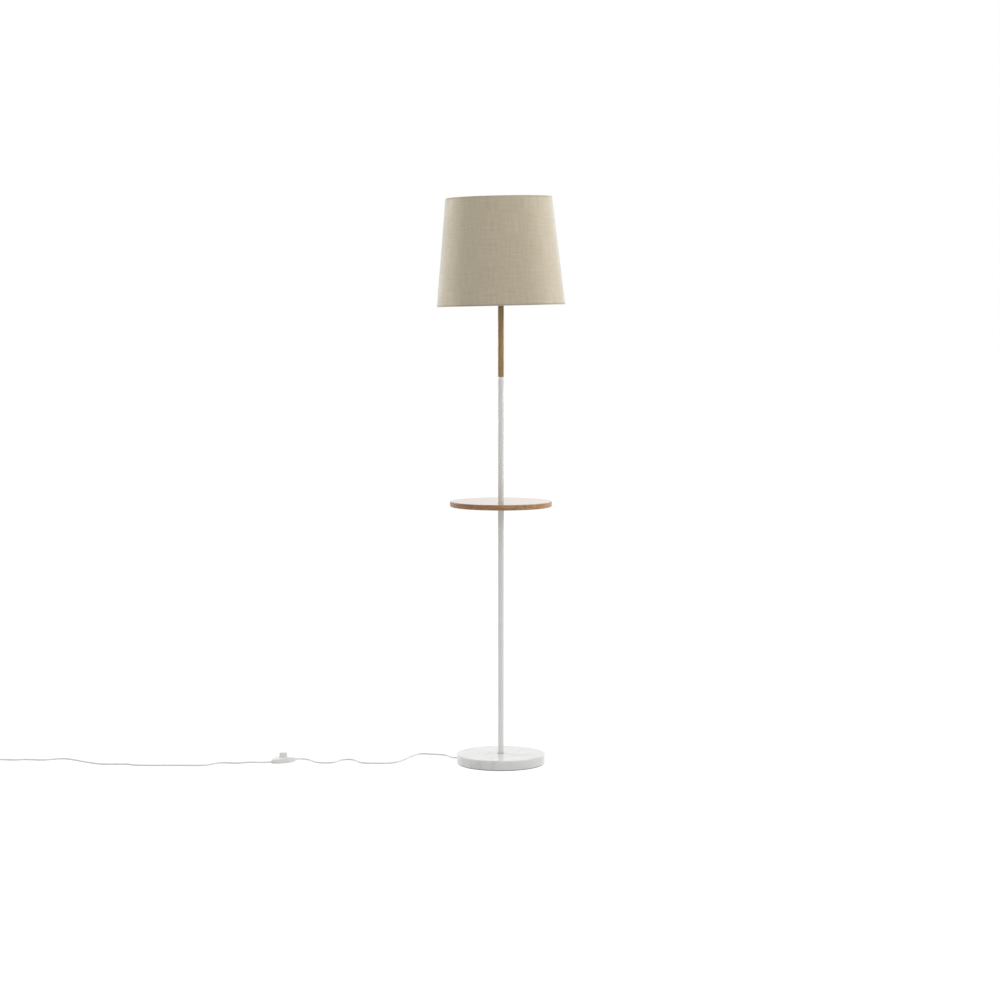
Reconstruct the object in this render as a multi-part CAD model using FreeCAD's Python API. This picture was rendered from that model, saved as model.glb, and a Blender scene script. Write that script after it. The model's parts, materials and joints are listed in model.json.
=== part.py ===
import FreeCAD, Part
import math
import os

# Floor lamp with a round table: marble foot, white steel pole, wooden upper pole,
# fabric shade on a wire carrier, and a free cord with a foot switch and a plug.
# Millimetres, +Z up. The origin is the centre of the foot, on the floor.

V = FreeCAD.Vector
UP = V(0, 0, 1)

# ---------------------------------------------------------------- foot
base_diameter = 244.0
slab_thickness = 26.0
slab_top_round = 3.0
slab_bottom_round = 1.2
pad_thickness = 2.0
pad_inset = 3.0
recess_diameter = 60.0
recess_depth = 14.0

# ---------------------------------------------------------------- pole
pole_diameter = 16.0
tube_wall = 1.2
table_height = 727.0        # top face of the table above the floor
wood_pole_bottom = 1068.0   # where the wooden pole starts above the floor
wood_pole_length = 218.0
wood_bore = 8.0
ferrule_height = 7.5
ferrule_spigot = 18.0       # length of each spigot
ferrule_chamfer = 0.5
insert_length = 15.0

# ---------------------------------------------------------------- threaded hardware
rod_diameter = 10.0         # hollow lamp nipple
rod_bore = 7.0
rod_grip = 13.0             # length of a nipple in each tube insert
nut_width = 14.0            # across the flats
nut_height = 4.0
washer_diameter = 30.0
washer_thickness = 1.5
nut_overhang = 1.0          # nipple below its nut
thread_gap = 0.1            # radial, between a thread and its female thread
press_gap = 0.05            # radial, between pressed pieces
hole_gap = 0.3              # radial, a nipple in a plain hole
end_gap = 0.5               # left past the end of a screw, spigot or nipple in its hole
slot_width = 0.8            # driver slots
slot_depth = 0.6

# ---------------------------------------------------------------- table
table_diameter = 280.0
table_thickness = 15.0
table_top_round = 2.0
table_bottom_round = 4.0
table_seat_depth = 1.5      # the upper tube stands in this shallow seat
table_seat_gap = 0.2
flange_diameter = 70.0
flange_thickness = 2.5
screw_circle = 52.0
screw_count = 4
screw_diameter = 3.5
screw_length = 13.0
screw_head = 7.0
screw_head_height = 2.0

# ---------------------------------------------------------------- head, which leans
head_lean = 1.3             # degrees: the lampholder and shade lean to -X, as they stand in use
head_slack = 0.5            # radial room of the top nipple in the wood, which lets the head lean
head_grip = 14.0            # length of the top nipple in the wood
seat_diameter = 18.0
seat_thickness = 1.5
cap_height = 20.0
cap_foot = 22.0
cap_diameter = 40.0
cap_wall = 2.0
cap_floor = 2.5
cap_dome = 12.0             # height of the cap's round part
holder_flange = 48.0
holder_flange_rise = 5.0    # flange above the cap's rim
holder_flange_height = 3.0
holder_collar = 39.6
holder_collar_height = 26.0
holder_bore = 34.0
core_seat_bore = 30.0
core_rise = 3.0             # core above the cap's rim
core_height = 8.0
core_gap = 0.2
core_bore = 3.0
shell_diameter = 29.0
shell_wall = 0.7
shell_height = 21.0
contact_diameter = 6.0
contact_height = 1.2
bulb_cap_diameter = 26.4
bulb_cap_height = 24.0
bulb_tip_height = 5.0
bulb_tip_diameter = 20.0
bulb_diameter = 60.0
bulb_neck_height = 50.0     # from the cap to the widest place
bulb_wall = 1.0

# ---------------------------------------------------------------- shade
shade_bottom_diameter = 350.0
shade_top_diameter = 290.0
shade_height = 293.0
shade_drop = 24.0           # shade below the top of the wooden pole
shade_wall = 1.0
ring_wire = 4.0
ring_gap = 0.3
hub_diameter = 56.0
hub_thickness = 2.5
hub_gap = 0.4
arm_count = 3
arm_first_angle = 90.0
arm_wire = 4.0
arm_level = 70.0            # radius where an arm turns down
arm_bend = 25.0
ring_nut_diameter = 58.0
ring_nut_height = 7.0
flute_count = 16
flute_diameter = 4.0

# ---------------------------------------------------------------- cord
cord_diameter = 5.0
cord_gap = 0.15             # radial, a cord in its bore
exit_angle = 155.0          # where the cord leaves the foot, seen from above
exit_height = 4.6           # axis of the cord in the foot
bushing_diameter = 9.0
bushing_tip = 6.8
bushing_inside = 10.0
bushing_outside = 14.0
bushing_gap = 0.2
inner_bend = 8.0            # the cord turns up into the pole
lean_bend = 200.0
cord_in_head = 24.0         # cord above the top of the wooden pole
groove_width = 1.2
groove_depth = 0.5
groove_count = 3

# ---------------------------------------------------------------- foot switch
switch_x = -603.0
switch_y = 14.0
switch_turn = 33.0          # long axis, seen from above
switch_length = 68.0
switch_width = 38.0
switch_end_width = 13.0
switch_split = 5.0          # height of the joint between the two shells, and of the cords
switch_top = 15.0
switch_end_top = 11.0
switch_round = 1.6
switch_foot_round = 0.8
switch_floor = 1.8
switch_roof = 2.8
switch_pocket = 30.0
button_diameter = 22.4
button_gap = 0.4
button_top = 28.0
button_wall = 2.0
button_roof = 2.5
button_round = 2.5
button_flange = 28.6
button_flange_height = 1.3
button_play = 0.2           # flange below the roof at rest
button_travel = 3.0
button_stop = 0.3           # room left under the pressed button
core_plate = 22.0
core_post = 8.0
core_post_height = 5.0
spring_diameter = 14.0      # mean
spring_wire = 1.0
spring_turns = 5
spring_gap = 0.05
relief_diameter = 7.6
relief_tip = 6.6
relief_outside = 6.0
relief_inside = 2.0
relief_gap = 0.1
case_screw = 2.9
case_screw_head = 5.6
case_screw_length = 9.0
case_screw_sink = 1.0
case_screw_x = 22.0
case_screw_y = 8.0

# ---------------------------------------------------------------- coil, tie and plug
coil_x = -1438.0
coil_y = 8.0
coil_radius = 33.0
coil_pitch = 5.6
coil_layer = 5.45
coil_reverse = 8            # quarter turns to where the coil climbs and turns back outwards
coil_climb = 1.3            # slope in the middle of the climb, over its mean
coil_run_out = 12.0
coil_step_down = 20.0
tie_quarter = 2             # quarter turns from the coil's start to its tie
tie_thickness = 0.6
tie_width = 6.0
tie_gap = 0.3
tie_round = 2.0
plug_width = 35.0
plug_height = 14.0
plug_length = 30.0
plug_neck = 15.0
plug_shoulder = 9.0
plug_round = 2.5
plug_relief_length = 14.0
plug_relief_diameter = 9.0
plug_relief_tip = 7.0
pin_diameter = 4.0
pin_length = 19.0
pin_spacing = 18.6
pin_root = 9.0
pin_root_diameter = 3.4
pin_gap = 0.05

# ---------------------------------------------------------------- places that follow
base_top = pad_thickness + slab_thickness
tube_bore = pole_diameter - 2 * tube_wall
table_bottom = table_height - table_thickness
flange_bottom = table_bottom - flange_thickness
upper_tube_bottom = table_height - table_seat_depth
upper_tube_top = wood_pole_bottom - ferrule_height
pole_top = wood_pole_bottom + wood_pole_length
thread_bore = rod_diameter + 2 * thread_gap
cord_bore = cord_diameter + 2 * cord_gap
channel_width = bushing_diameter + 2 * bushing_gap
washer_bottom = pad_thickness + recess_depth - washer_thickness
nut_bottom = washer_bottom - nut_height
exit_radius = base_diameter / 2 + bushing_outside

head_gap = pole_diameter / 2 * math.sin(math.radians(head_lean)) + thread_gap
cap_bottom = head_gap + seat_thickness
cap_top = cap_bottom + cap_height
flange_low = cap_top + holder_flange_rise
hub_seat = flange_low + holder_flange_height
collar_top = hub_seat + holder_collar_height
core_bottom = cap_top + core_rise
core_top = core_bottom + core_height
bulb_bottom = core_top + contact_height
bulb_cap_top = bulb_bottom + bulb_cap_height
shade_low = -shade_drop
shade_high = shade_low + shade_height

pocket_roof = switch_top - switch_roof
flange_top = pocket_roof - button_play
button_bottom = flange_top - button_flange_height
button_ceiling = button_top - button_roof
core_plate_top = button_bottom - button_travel - button_stop
switch_reach = switch_length / 2 + relief_outside

coil_floor = tie_thickness + tie_gap + cord_diameter / 2
plug_axis = plug_height / 2
plug_tip_x = coil_x - coil_run_out - coil_step_down - cord_diameter


# ---------------------------------------------------------------- small makers
def disc(diameter, height, z=0.0, x=0.0, y=0.0):
    return Part.makeCylinder(diameter / 2, height, V(x, y, z))


def ring(outer, inner, height, z):
    return disc(outer, height, z).cut(disc(inner, height, z))


def turned(start, *steps):
    """A solid turned about Z. A step is one (radius, z) point for a line, or two for an arc."""
    edges = []
    here = V(start[0], 0, start[1])
    for step in steps + ((start,),):
        points = [V(r, 0, z) for r, z in step]
        if len(points) == 2:
            edges.append(Part.Arc(here, points[0], points[1]).toShape())
        else:
            edges.append(Part.LineSegment(here, points[0]).toShape())
        here = points[-1]
    return Part.Face(Part.Wire(edges)).revolve(V(0, 0, 0), UP, 360)


def round_edges(shape, height, diameter):
    """The full circles of this diameter about Z at this height."""
    return [
        edge
        for edge in shape.Edges
        if isinstance(edge.Curve, Part.Circle)
        and abs(edge.Curve.Center.z - height) < 0.01
        and abs(edge.Curve.Radius - diameter / 2) < 0.01
    ]


def ease(shape, radius, height, diameter):
    return shape.makeFillet(radius, round_edges(shape, height, diameter))


def hexagon(width, height, z):
    corner = width / 2 / math.cos(math.pi / 6)
    points = [
        V(corner * math.cos(k * math.pi / 3), corner * math.sin(k * math.pi / 3), z)
        for k in range(7)
    ]
    return Part.Face(Part.makePolygon(points)).extrude(V(0, 0, height))


def rotated_copies(shape, count, first=0.0):
    copies = []
    for k in range(count):
        copy = shape.copy()
        copy.rotate(V(0, 0, 0), UP, first + 360.0 * k / count)
        copies.append(copy)
    return copies


def tube_on(edges, diameter, start, heading):
    """A round tube swept along the edges."""
    section = Part.Wire([Part.Edge(Part.Circle(start, heading, diameter / 2))])
    return Part.Wire(edges).makePipeShell([section], True, False)


def path_with_arcs(points, radii):
    """Straight runs joined by tangent arcs, one radius for each inner point."""
    edges = []
    here = points[0]
    for before, corner, after, radius in zip(points, points[1:], points[2:], radii):
        into = (corner - before).normalize()
        out = (after - corner).normalize()
        half = into.getAngle(out) / 2
        cut = radius * math.tan(half)
        first = corner - into * cut
        last = corner + out * cut
        inward = (out - into).normalize()
        middle = corner + inward * (radius / math.cos(half) - radius)
        edges.append(Part.LineSegment(here, first).toShape())
        edges.append(Part.Arc(first, middle, last).toShape())
        here = last
    edges.append(Part.LineSegment(here, points[-1]).toShape())
    return edges


def rule_radii(points):
    """Each arc takes 0.45 of the shorter of its two runs."""
    radii = []
    for before, corner, after in zip(points, points[1:], points[2:]):
        into = corner - before
        out = after - corner
        half = into.getAngle(out) / 2
        radii.append(0.45 * min(into.Length, out.Length) / math.tan(half))
    return radii


def report_tube(name, shape, edges, radii=()):
    length = sum(edge.Length for edge in edges)
    full = math.pi * cord_diameter ** 2 / 4 * length
    print(f"{name}: length {length:.1f} mm, volume {shape.Volume:.0f} of {full:.0f} mm3")
    if radii:
        print("  radii " + " ".join(f"{radius:.0f}" for radius in radii))


# ---------------------------------------------------------------- foot
def cord_channel():
    """Groove for the cord under the foot, from the middle to the rim."""
    length = base_diameter / 2 + 1
    slot = Part.makeBox(length, channel_width, exit_height + 1, V(0, -channel_width / 2, -1))
    roof = Part.makeCylinder(channel_width / 2, length, V(0, 0, exit_height), V(1, 0, 0))
    channel = slot.fuse(roof)
    channel.rotate(V(0, 0, 0), UP, exit_angle)
    return channel


def base_slab():
    slab = disc(base_diameter, slab_thickness, pad_thickness)
    slab = ease(slab, slab_top_round, base_top, base_diameter)
    slab = ease(slab, slab_bottom_round, pad_thickness, base_diameter)
    slab = slab.cut(disc(rod_diameter + 2 * hole_gap, slab_thickness, pad_thickness))
    slab = slab.cut(disc(recess_diameter, recess_depth, pad_thickness))
    return slab.cut(cord_channel())


def base_pad():
    outer = base_diameter - 2 * pad_inset
    return ring(outer, recess_diameter, pad_thickness, 0).cut(cord_channel())


def base_rod():
    bottom = nut_bottom - nut_overhang
    return ring(rod_diameter, rod_bore, base_top + rod_grip - bottom, bottom)


def base_washer():
    return ring(washer_diameter, thread_bore, washer_thickness, washer_bottom)


def hex_nut(bottom):
    return hexagon(nut_width, nut_height, bottom).cut(disc(thread_bore, nut_height, bottom))


def grooves(start, pitch, outer, count):
    """Ring grooves of a moulded strain relief that lies along X."""
    cuts = []
    for k in range(count):
        at = V(start + k * pitch, 0, 0)
        whole = Part.makeCylinder(outer, groove_width, at, V(1, 0, 0))
        kept = Part.makeCylinder(cord_bore / 2 + groove_depth, groove_width, at, V(1, 0, 0))
        cuts.append(whole.cut(kept))
    return cuts


def cord_bushing():
    """Tapered strain relief in the rim of the foot, with the cord through it."""
    rim = base_diameter / 2
    along = V(1, 0, 0)
    seat = Part.makeCylinder(bushing_diameter / 2, bushing_inside, V(rim - bushing_inside, 0, 0), along)
    tail = Part.makeCone(bushing_diameter / 2, bushing_tip / 2, bushing_outside, V(rim, 0, 0), along)
    bushing = seat.fuse(tail).removeSplitter()
    pitch = bushing_outside / (groove_count + 1)
    for cut in grooves(rim + pitch, pitch, bushing_diameter, groove_count):
        bushing = bushing.cut(cut)
    bore = Part.makeCylinder(cord_bore / 2, 2 * rim, V(0, 0, 0), along)
    bushing = bushing.cut(bore)
    bushing.rotate(V(0, 0, 0), UP, exit_angle)
    bushing.translate(V(0, 0, exit_height))
    return bushing


# ---------------------------------------------------------------- pole
def pole_tube(bottom, top):
    return ring(pole_diameter, tube_bore, top - bottom, bottom)


def tube_insert(bottom):
    """Threaded plug pressed into the end of a tube."""
    return ring(tube_bore - 2 * press_gap, thread_bore, insert_length, bottom)


def table_rod():
    bottom = flange_bottom - rod_grip
    return ring(rod_diameter, rod_bore, upper_tube_bottom + rod_grip - bottom, bottom)


def pole_ferrule():
    """White collar with a spigot into the tube below and one into the wood above."""
    collar = disc(pole_diameter, ferrule_height, upper_tube_top)
    edges = round_edges(collar, upper_tube_top, pole_diameter)
    edges += round_edges(collar, wood_pole_bottom, pole_diameter)
    collar = collar.makeChamfer(ferrule_chamfer, edges)
    lower = disc(tube_bore - 2 * press_gap, ferrule_spigot, upper_tube_top - ferrule_spigot)
    upper = disc(rod_diameter, ferrule_spigot, wood_pole_bottom)
    height = ferrule_height + 2 * ferrule_spigot
    bore = disc(rod_bore, height, upper_tube_top - ferrule_spigot)
    return collar.fuse([lower, upper]).removeSplitter().cut(bore)


def wood_pole():
    pole = ring(pole_diameter, wood_bore, wood_pole_length, wood_pole_bottom)
    pole = pole.cut(disc(thread_bore, ferrule_spigot + end_gap, wood_pole_bottom))
    top_hole = rod_diameter + 2 * head_slack
    depth = head_grip + end_gap
    return pole.cut(disc(top_hole, depth, pole_top - depth))


# ---------------------------------------------------------------- table
def screw_places():
    angles = [math.radians(45 + 360 * k / screw_count) for k in range(screw_count)]
    return [(screw_circle / 2 * math.cos(a), screw_circle / 2 * math.sin(a)) for a in angles]


def table_top():
    top = disc(table_diameter, table_thickness, table_bottom)
    top = ease(top, table_top_round, table_height, table_diameter)
    top = ease(top, table_bottom_round, table_bottom, table_diameter)
    top = top.cut(disc(rod_diameter + 2 * hole_gap, table_thickness, table_bottom))
    top = top.cut(disc(pole_diameter + 2 * table_seat_gap, table_seat_depth, upper_tube_bottom))
    depth = screw_length - flange_thickness + end_gap
    for x, y in screw_places():
        top = top.cut(disc(screw_diameter + 2 * press_gap, depth, table_bottom, x, y))
    return top


def table_flange():
    flange = ring(flange_diameter, rod_diameter + 2 * hole_gap, flange_thickness, flange_bottom)
    flange = ease(flange, flange_thickness / 3, flange_bottom, flange_diameter)
    for x, y in screw_places():
        hole = disc(screw_diameter + 2 * press_gap, flange_thickness, flange_bottom, x, y)
        sink = Part.makeCone(
            screw_head / 2 + press_gap,
            screw_diameter / 2 + press_gap,
            screw_head_height,
            V(x, y, flange_bottom),
        )
        flange = flange.cut(hole.fuse(sink))
    return flange


def driver_slot(head, x, y, bottom):
    """Slot across the lower face of a screw's head."""
    return Part.makeBox(head, slot_width, slot_depth, V(x - head / 2, y - slot_width / 2, bottom))


def table_screws():
    screws = []
    for x, y in screw_places():
        head = Part.makeCone(screw_head / 2, screw_diameter / 2, screw_head_height, V(x, y, flange_bottom))
        shank = disc(screw_diameter, screw_length, flange_bottom, x, y)
        slot = driver_slot(screw_head, x, y, flange_bottom)
        screws.append(head.fuse(shank).removeSplitter().cut(slot))
    return Part.makeCompound(screws)


# ---------------------------------------------------------------- head, made upright on its own origin
def stand_in_head(shape):
    """Lean a piece of the head and set it on top of the wooden pole."""
    shape.rotate(V(0, 0, 0), V(0, 1, 0), -head_lean)
    shape.translate(V(0, 0, pole_top))
    return shape


def head_rod():
    top = cap_bottom + cap_floor + nut_height + nut_overhang
    return ring(rod_diameter, rod_bore, head_grip + top, -head_grip)


def head_seat():
    return ring(seat_diameter, thread_bore, seat_thickness, head_gap)


def dome_middle(foot, wide):
    """Middle of the round corner from a level foot point out to a wide upright one."""
    corner = 1 - math.sqrt(0.5)
    return (wide[0] - (wide[0] - foot[0]) * corner, foot[1] + (wide[1] - foot[1]) * corner)


def lampholder_cap():
    """Domed cup of the lampholder, open at the top."""
    outer = cap_diameter / 2
    inner = outer - cap_wall
    hole = thread_bore / 2
    foot = (cap_foot / 2, cap_bottom)
    foot_inside = (cap_foot / 2, cap_bottom + cap_floor)
    wide = (outer, cap_bottom + cap_dome)
    wide_inside = (inner, cap_bottom + cap_dome)
    return turned(
        (hole, cap_bottom),
        (foot,),
        (dome_middle(foot, wide), wide),
        ((outer, cap_top),),
        ((inner, cap_top),),
        (wide_inside,),
        (dome_middle(foot_inside, wide_inside), foot_inside),
        ((hole, cap_bottom + cap_floor),),
    )


def lampholder_body():
    """Collar with the flange that carries the shade, and a step for the core."""
    return turned(
        (core_seat_bore / 2, cap_top),
        ((cap_diameter / 2, cap_top),),
        ((cap_diameter / 2, flange_low),),
        ((holder_flange / 2, flange_low),),
        ((holder_flange / 2, hub_seat),),
        ((holder_collar / 2, hub_seat),),
        ((holder_collar / 2, collar_top),),
        ((holder_bore / 2, collar_top),),
        ((holder_bore / 2, core_bottom),),
        ((core_seat_bore / 2, core_bottom),),
    )


def lampholder_core():
    """Porcelain disc that carries the contacts, with two wire holes."""
    core = disc(holder_bore - 2 * core_gap, core_height, core_bottom)
    for side in (-1, 1):
        core = core.cut(disc(core_bore, core_height, core_bottom, side * contact_diameter))
    return core


def lampholder_shell():
    return ring(shell_diameter, shell_diameter - 2 * shell_wall, shell_height, core_top)


def centre_contact():
    return disc(contact_diameter, contact_height, core_top)


def bulb_cap():
    outer = bulb_cap_diameter / 2
    tip = contact_diameter / 2
    shoulder = bulb_bottom + bulb_tip_height
    return turned(
        (0, bulb_bottom),
        ((tip, bulb_bottom),),
        ((bulb_tip_diameter / 2, shoulder),),
        ((outer, shoulder),),
        ((outer, bulb_cap_top),),
        ((0, bulb_cap_top),),
    )


def bulb_curve(offset):
    """Points of the bulb's outline, moved in by the offset: neck, waist, widest, shoulder, top."""
    wide = bulb_diameter / 2 - offset
    neck = bulb_cap_diameter / 2 - offset
    middle = bulb_cap_top + bulb_neck_height
    sweep = ((wide - neck) ** 2 + bulb_neck_height ** 2) / (2 * (wide - neck))
    waist = wide - sweep + math.sqrt(sweep ** 2 - (bulb_neck_height / 2) ** 2)
    return (
        (neck, bulb_cap_top),
        (waist, middle - bulb_neck_height / 2),
        (wide, middle),
        (wide * math.sqrt(0.5), middle + wide * math.sqrt(0.5)),
        (0, middle + wide),
    )


def bulb_glass():
    neck, waist, wide, shoulder, top = bulb_curve(0)
    neck_in, waist_in, wide_in, shoulder_in, top_in = bulb_curve(bulb_wall)
    return turned(
        neck,
        (waist, wide),
        (shoulder, top),
        (top_in,),
        (shoulder_in, wide_in),
        (waist_in, neck_in),
    )


# ---------------------------------------------------------------- shade
def shade_radius(height):
    """Outer radius of the shade at a height in the head's own frame."""
    share = (height - shade_low) / shade_height
    return (shade_bottom_diameter + (shade_top_diameter - shade_bottom_diameter) * share) / 2


def ring_radius(height):
    return shade_radius(height) - shade_wall - ring_gap - ring_wire / 2


def shade_skin():
    """Fabric on a stiff lining, as one conical wall open at both ends."""
    low = shade_bottom_diameter / 2
    high = shade_top_diameter / 2
    return turned(
        (low - shade_wall, shade_low),
        ((low, shade_low),),
        ((high, shade_high),),
        ((high - shade_wall, shade_high),),
    )


def shade_top_ring():
    height = shade_high - ring_wire / 2 - ring_gap
    return Part.makeTorus(ring_radius(height), ring_wire / 2, V(0, 0, height))


def shade_carrier():
    """Hub, three arms and the lower ring, welded into one frame."""
    hub = ring(hub_diameter, holder_collar + 2 * hub_gap, hub_thickness, hub_seat)
    arm_height = hub_seat + hub_thickness - arm_wire / 2
    ring_height = shade_low + ring_wire / 2 + ring_gap
    ring_centre = ring_radius(ring_height)
    lower = Part.makeTorus(ring_centre, ring_wire / 2, V(0, 0, ring_height))
    start = (holder_flange + hub_diameter) / 4
    points = [
        V(start, 0, arm_height),
        V(arm_level, 0, arm_height),
        V(ring_centre, 0, ring_height),
    ]
    arm = tube_on(path_with_arcs(points, [arm_bend]), arm_wire, points[0], V(1, 0, 0))
    arms = rotated_copies(arm, arm_count, arm_first_angle)
    return hub.fuse(arms + [lower]).removeSplitter()


def shade_ring_nut():
    """Fluted ring nut that clamps the hub on the lampholder."""
    bottom = hub_seat + hub_thickness
    nut = ring(ring_nut_diameter, holder_collar + 2 * thread_gap, ring_nut_height, bottom)
    flute = disc(flute_diameter, ring_nut_height, bottom, ring_nut_diameter / 2 + flute_diameter / 4)
    return nut.cut(rotated_copies(flute, flute_count))


# ---------------------------------------------------------------- foot switch, made on its own origin
def stand_at_switch(shape):
    shape.rotate(V(0, 0, 0), UP, switch_turn)
    shape.translate(V(switch_x, switch_y, 0))
    return shape


def switch_prism(bottom, top):
    """The pointed oval of the switch."""
    end = switch_length / 2
    tip = switch_end_width / 2
    side = switch_width / 2
    near = Part.Arc(V(-end, -tip, bottom), V(0, -side, bottom), V(end, -tip, bottom))
    far = Part.Arc(V(end, tip, bottom), V(0, side, bottom), V(-end, tip, bottom))
    right = Part.LineSegment(V(end, -tip, bottom), V(end, tip, bottom))
    left = Part.LineSegment(V(-end, tip, bottom), V(-end, -tip, bottom))
    edges = [curve.toShape() for curve in (near, right, far, left)]
    return Part.Face(Part.Wire(edges)).extrude(V(0, 0, top - bottom))


def switch_bores():
    """The way of both cords through the shells, with the seats of the reliefs."""
    along = V(1, 0, 0)
    reach = switch_length / 2
    bores = Part.makeCylinder(cord_bore / 2, 2 * reach, V(-reach, 0, switch_split), along)
    seat = relief_diameter / 2 + relief_gap
    for start in (-reach, reach - relief_inside):
        bores = bores.fuse(Part.makeCylinder(seat, relief_inside, V(start, 0, switch_split), along))
    return bores


def case_screw_places():
    return [(case_screw_x, -case_screw_y), (-case_screw_x, case_screw_y)]


def case_screw_solid(x, y, gap):
    head = disc(case_screw_head + 2 * gap, case_screw_sink + gap, case_screw_sink - gap, x, y)
    shank = disc(case_screw + 2 * gap, case_screw_length + gap, case_screw_sink, x, y)
    return head.fuse(shank)


def switch_base():
    base = switch_prism(0, switch_split)
    rim = [e for e in base.Edges if abs(e.CenterOfMass.z) < 0.01]
    base = base.makeFillet(switch_foot_round, rim)
    base = base.cut(disc(switch_pocket, switch_split, switch_floor))
    for x, y in case_screw_places():
        base = base.cut(case_screw_solid(x, y, press_gap))
        base = base.cut(disc(case_screw_head + 2 * press_gap, case_screw_sink, 0, x, y))
    return base.cut(switch_bores())


def switch_cover():
    """Upper shell: the pointed oval under an arched roof, with the hole for the button."""
    end = switch_length / 2
    drop = switch_top - switch_end_top
    arch = (end ** 2 + drop ** 2) / (2 * drop)
    roof = Part.makeCylinder(arch, switch_width, V(0, -switch_width / 2, switch_top - arch), V(0, 1, 0))
    cover = switch_prism(switch_split, switch_top).common(roof)
    upper = [e for e in cover.Edges if e.BoundBox.ZMin > switch_split + 1]
    cover = cover.makeFillet(switch_round, upper)
    cover = cover.cut(disc(button_diameter + 2 * button_gap, switch_top, switch_split))
    cover = cover.cut(disc(switch_pocket, pocket_roof - switch_split, switch_split))
    for x, y in case_screw_places():
        cover = cover.cut(case_screw_solid(x, y, press_gap))
    return cover.cut(switch_bores())


def switch_screws():
    screws = []
    for x, y in case_screw_places():
        slot = driver_slot(case_screw_head, x, y, case_screw_sink)
        screws.append(case_screw_solid(x, y, 0).removeSplitter().cut(slot))
    return Part.makeCompound(screws)


def switch_core():
    plate = disc(core_plate, core_plate_top - switch_floor, switch_floor)
    return plate.fuse(disc(core_post, core_post_height, core_plate_top)).removeSplitter()


def switch_button():
    """Round pedal: a cup with a flange that keeps it under the cover."""
    stem = disc(button_diameter, button_top - button_bottom, button_bottom)
    stem = ease(stem, button_round, button_top, button_diameter)
    flange = disc(button_flange, button_flange_height, button_bottom)
    hollow = disc(button_diameter - 2 * button_wall, button_ceiling - button_bottom, button_bottom)
    return stem.fuse(flange).removeSplitter().cut(hollow)


def biarc(start, heading, end, leaving):
    """Two tangent arcs from one point and direction to another."""
    chord = end - start
    both = heading + leaving
    spread = 2 * (1 - heading.dot(leaving))
    along = chord.dot(both)
    reach = (-along + math.sqrt(along ** 2 + spread * chord.dot(chord))) / spread
    join = (start + end + (heading - leaving) * reach) * 0.5
    arcs = []
    for first, corner, last in (
        (start, start + heading * reach, join),
        (join, end - leaving * reach, end),
    ):
        middle = (first + last) * 0.5
        half = (corner - first).getAngle(last - first)
        rise = math.tan(half / 2) / math.tan(half)
        arcs.append(Part.Arc(first, middle + (corner - middle) * rise, last).toShape())
    return arcs


def switch_spring():
    """Wound spring under the button, a quarter turn at a time."""
    low = core_plate_top + spring_wire / 2 + spring_gap
    high = button_ceiling - spring_wire / 2 - spring_gap
    radius = spring_diameter / 2
    steps = 4 * spring_turns
    climb = (high - low) / steps
    slope = math.atan2(climb, radius * math.pi / 2)

    def place(step):
        angle = step * math.pi / 2
        return V(radius * math.cos(angle), radius * math.sin(angle), low + climb * step)

    def heading(step):
        angle = step * math.pi / 2
        flat = math.cos(slope)
        return V(-flat * math.sin(angle), flat * math.cos(angle), math.sin(slope))

    edges = []
    for step in range(steps):
        edges += biarc(place(step), heading(step), place(step + 1), heading(step + 1))
    return tube_on(edges, spring_wire, place(0), heading(0))


def switch_reliefs():
    """Tapered collar at each end of the switch."""
    reliefs = []
    inner = switch_length / 2 - relief_inside
    for side in (-1, 1):
        along = V(side, 0, 0)
        seat = Part.makeCylinder(relief_diameter / 2, relief_inside, along * inner, along)
        tail = Part.makeCone(
            relief_diameter / 2, relief_tip / 2, relief_outside, along * (switch_length / 2), along
        )
        bore = Part.makeCylinder(cord_bore / 2, switch_length, V(0, 0, 0), along)
        relief = seat.fuse(tail).removeSplitter().cut(bore)
        relief.translate(V(0, 0, switch_split))
        reliefs.append(relief)
    return Part.makeCompound(reliefs)


def switch_leads():
    """The ends of both cords inside the switch."""
    leads = []
    start = switch_pocket / 2
    for side in (-1, 1):
        along = V(side, 0, 0)
        at = V(side * start, 0, switch_split)
        leads.append(Part.makeCylinder(cord_diameter / 2, switch_reach - start, at, along))
    return Part.makeCompound(leads)


# ---------------------------------------------------------------- cord
def exit_point():
    angle = math.radians(exit_angle)
    return V(exit_radius * math.cos(angle), exit_radius * math.sin(angle), exit_height)


def switch_end(side, beyond=0.0):
    """A point on the switch's axis, past its lamp end (+1) or its wall end (-1)."""
    angle = math.radians(switch_turn)
    reach = side * (switch_reach + beyond)
    return V(switch_x + reach * math.cos(angle), switch_y + reach * math.sin(angle), switch_split)


def inner_cord():
    """The cord held in the lamp, from the bushing's tip to the lampholder."""
    lean = math.radians(head_lean)
    points = [
        exit_point(),
        V(0, 0, exit_height),
        V(0, 0, pole_top),
        V(-cord_in_head * math.sin(lean), 0, pole_top + cord_in_head * math.cos(lean)),
    ]
    edges = path_with_arcs(points, [inner_bend, lean_bend])
    shape = tube_on(edges, cord_diameter, points[0], points[1] - points[0])
    report_tube("inner_cord", shape, edges)
    return shape


def floor_points(places):
    return [V(x, y, cord_diameter / 2) for x, y in places]


def free_cord(name, points):
    radii = rule_radii(points)
    edges = path_with_arcs(points, radii)
    shape = tube_on(edges, cord_diameter, points[0], points[1] - points[0])
    report_tube(name, shape, edges, radii)
    return shape


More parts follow.
